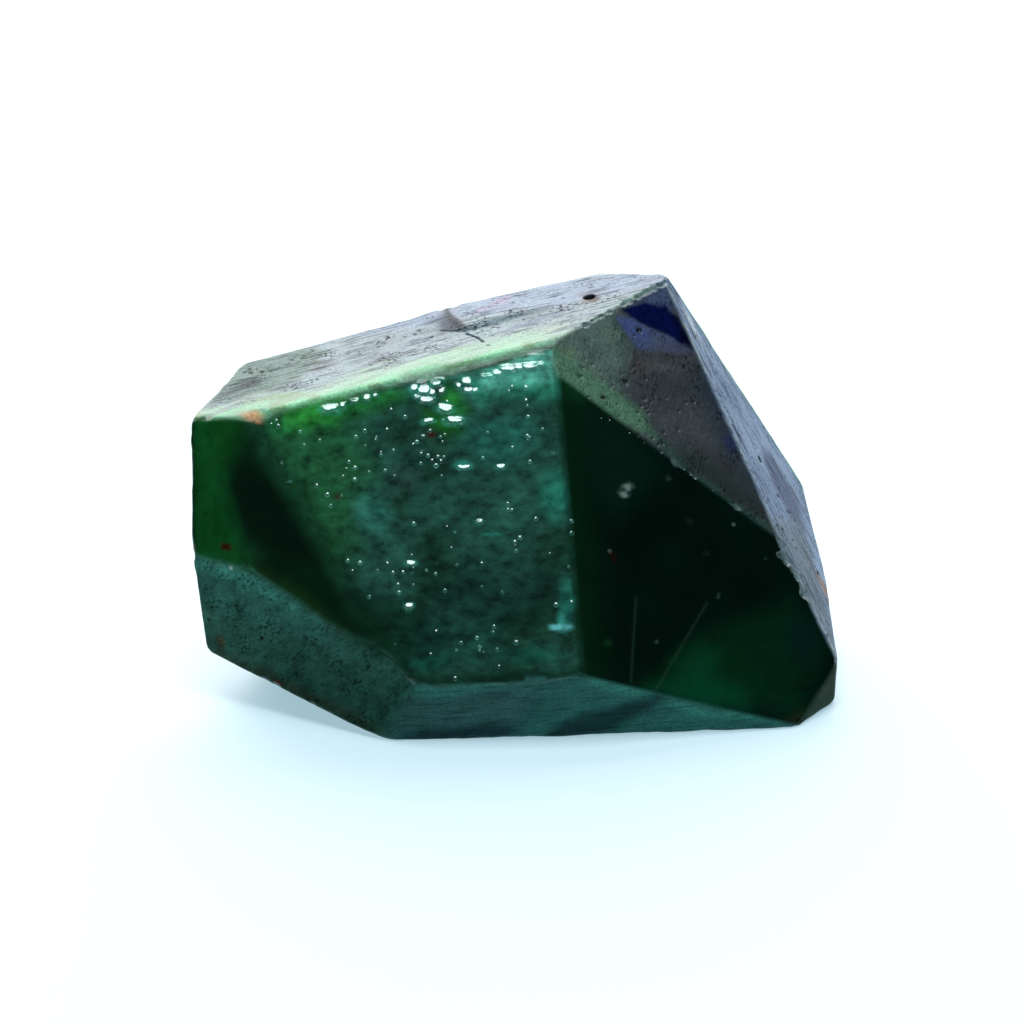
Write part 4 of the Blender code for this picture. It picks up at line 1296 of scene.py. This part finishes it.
# %% [markdown]
# The frosted skin is dull, and the handled facets shine but are never quite even. Dirt takes the shine
# away. The relief that is too fine for the mesh is a bump: grit where the skin is frosted, furrows
# along the grinding marks, and glassy ripples on the clouded facet, which glint.

# %% Gloss and fine relief
# The roughness that frost and clouds add to the polished glass
FROSTED, CLOUDED, POLISHED = 0.42, 0.12, 0.04
# How much shine dirt takes, how high ripples stand beside furrows, and grit where there is no frost
DIRT_DULLS, RIPPLE_HEIGHT, GRIT = 0.9, 1.3, 0.10
FINE_RELIEF = 0.03 * MM
rough = node("ShaderNodeMath", MULTIPLY, i0=given["frost"], i1=FROSTED).outputs[0]
rough = node("ShaderNodeMath", MULTIPLY_ADD, i0=pattern["billow"], i1=CLOUDED, i2=rough).outputs[0]
rough = node("ShaderNodeMath", ADD, i0=rough, i1=POLISHED).outputs[0]
tree.links.new(rough, shader.inputs["Roughness"])
clean = node("ShaderNodeMath", MULTIPLY_ADD, i0=dirt, i1=-DIRT_DULLS, i2=1.0).outputs[0]
shine = node("ShaderNodeMath", MULTIPLY, i0=given["shine"], i1=clean).outputs[0]
tree.links.new(shine, shader.inputs["Specular IOR Level"])
# Where the skin has no shine the glass under it mirrors only its own dark colour
polish = node("ShaderNodeMapRange", Value=shine, From_Min=0.03, From_Max=0.20).outputs[0]
mirrored = node("ShaderNodeMix", MIX_COLOURS, i0=polish, i6=skin_colour, i7=colour("#ffffff")).outputs[2]
tree.links.new(mirrored, shader.inputs["Specular Tint"])
furrow = node("ShaderNodeMath", MULTIPLY, i0=pattern["long_mark"], i1=given["streak"]).outputs[0]
grit = node("ShaderNodeMath", ADD, i0=given["frost"], i1=GRIT).outputs[0]
relief = node("ShaderNodeMath", MULTIPLY_ADD, i0=pattern["grain"], i1=grit, i2=furrow).outputs[0]
ripple = node("ShaderNodeMath", MULTIPLY, i0=pattern["ripple"], i1=given["cloud"]).outputs[0]
relief = node("ShaderNodeMath", MULTIPLY_ADD, i0=ripple, i1=RIPPLE_HEIGHT, i2=relief).outputs[0]
bump = node("ShaderNodeBump", Strength=0.7, Distance=FINE_RELIEF, Height=relief).outputs[0]
tree.links.new(bump, shader.inputs["Normal"])
print("gloss and relief with", len(tree.nodes), "nodes so far")

# %% [markdown]
# What is the same all over the stone is set on the shader itself: the index of tourmaline, the share
# of light that goes through, and a green absorption inside. Then the stone takes the solid's place.

# %% Glass
shader.inputs["IOR"].default_value = 1.63
shader.inputs["Transmission Weight"].default_value = 0.22
soak = node("ShaderNodeVolumeAbsorption", Color=colour("#26cfae"), Density=900.0).outputs[0]
tree.links.new(soak, tree.nodes["Material Output"].inputs["Volume"])
mesh.materials.append(material)
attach(stone, "root")
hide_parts("rough_tourmaline")
print("material with", len(tree.nodes), "nodes")

# %% [markdown]
# ## Floor and light
# The stone lies on a white sheet that glows a little, like a light table, so that its shadow stays
# pale. A wide soft light stands behind, and a smaller one hangs above for the sharp glints.

# %% Floor and light
FLOOR_SIDE = 1.5
corners = [(-FLOOR_SIDE, -FLOOR_SIDE, 0), (FLOOR_SIDE, -FLOOR_SIDE, 0), (FLOOR_SIDE, FLOOR_SIDE, 0),
           (-FLOOR_SIDE, FLOOR_SIDE, 0)]
floor_mesh = bpy.data.meshes.new("floor")
floor_mesh.from_pydata(corners, [], [(0, 1, 2, 3)])
floor = bpy.data.objects.new("floor", floor_mesh)
bpy.context.scene.collection.objects.link(floor)
paper = bpy.data.materials.new("glowing_white_sheet")
paper.use_nodes = True
sheet = paper.node_tree.nodes["Principled BSDF"]
sheet.inputs["Base Color"].default_value = colour("#b5b7b9")
sheet.inputs["Roughness"].default_value = 0.9
sheet.inputs["Emission Color"].default_value = colour("#c4e8f6")
sheet.inputs["Emission Strength"].default_value = 0.62
floor_mesh.materials.append(paper)


def softbox(name, place, width, height, radiance, tint):
    """A lamp that looks at the stone. Its power is pi times its area and its radiance."""
    lamp = bpy.data.lights.new(name, "AREA")
    lamp.shape = "RECTANGLE"
    lamp.size, lamp.size_y = width * MM, height * MM
    lamp.energy = math.pi * lamp.size * lamp.size_y * radiance
    lamp.color = linear(tint)
    holder = bpy.data.objects.new(name, lamp)
    bpy.context.scene.collection.objects.link(holder)
    aim(holder, place, (0.0, 0.0, 8.0))


softbox("back_light", (-60.0, 480.0, 330.0), 800.0, 480.0, 6.0, "#fffcfb")
softbox("top_light", (0.0, 0.0, 520.0), 260.0, 260.0, 9.7, "#ecfbff")
world = bpy.data.worlds.new("room")
bpy.context.scene.world = world
world.use_nodes = True
world.node_tree.nodes["Background"].inputs["Color"].default_value = colour("#b4e6f3")
world.node_tree.nodes["Background"].inputs["Strength"].default_value = 0.04
bpy.context.scene.view_settings.view_transform = "Standard"

# %% [markdown]
# Last, the scene is brought up to date.

# %% Finish
bpy.context.view_layer.update()
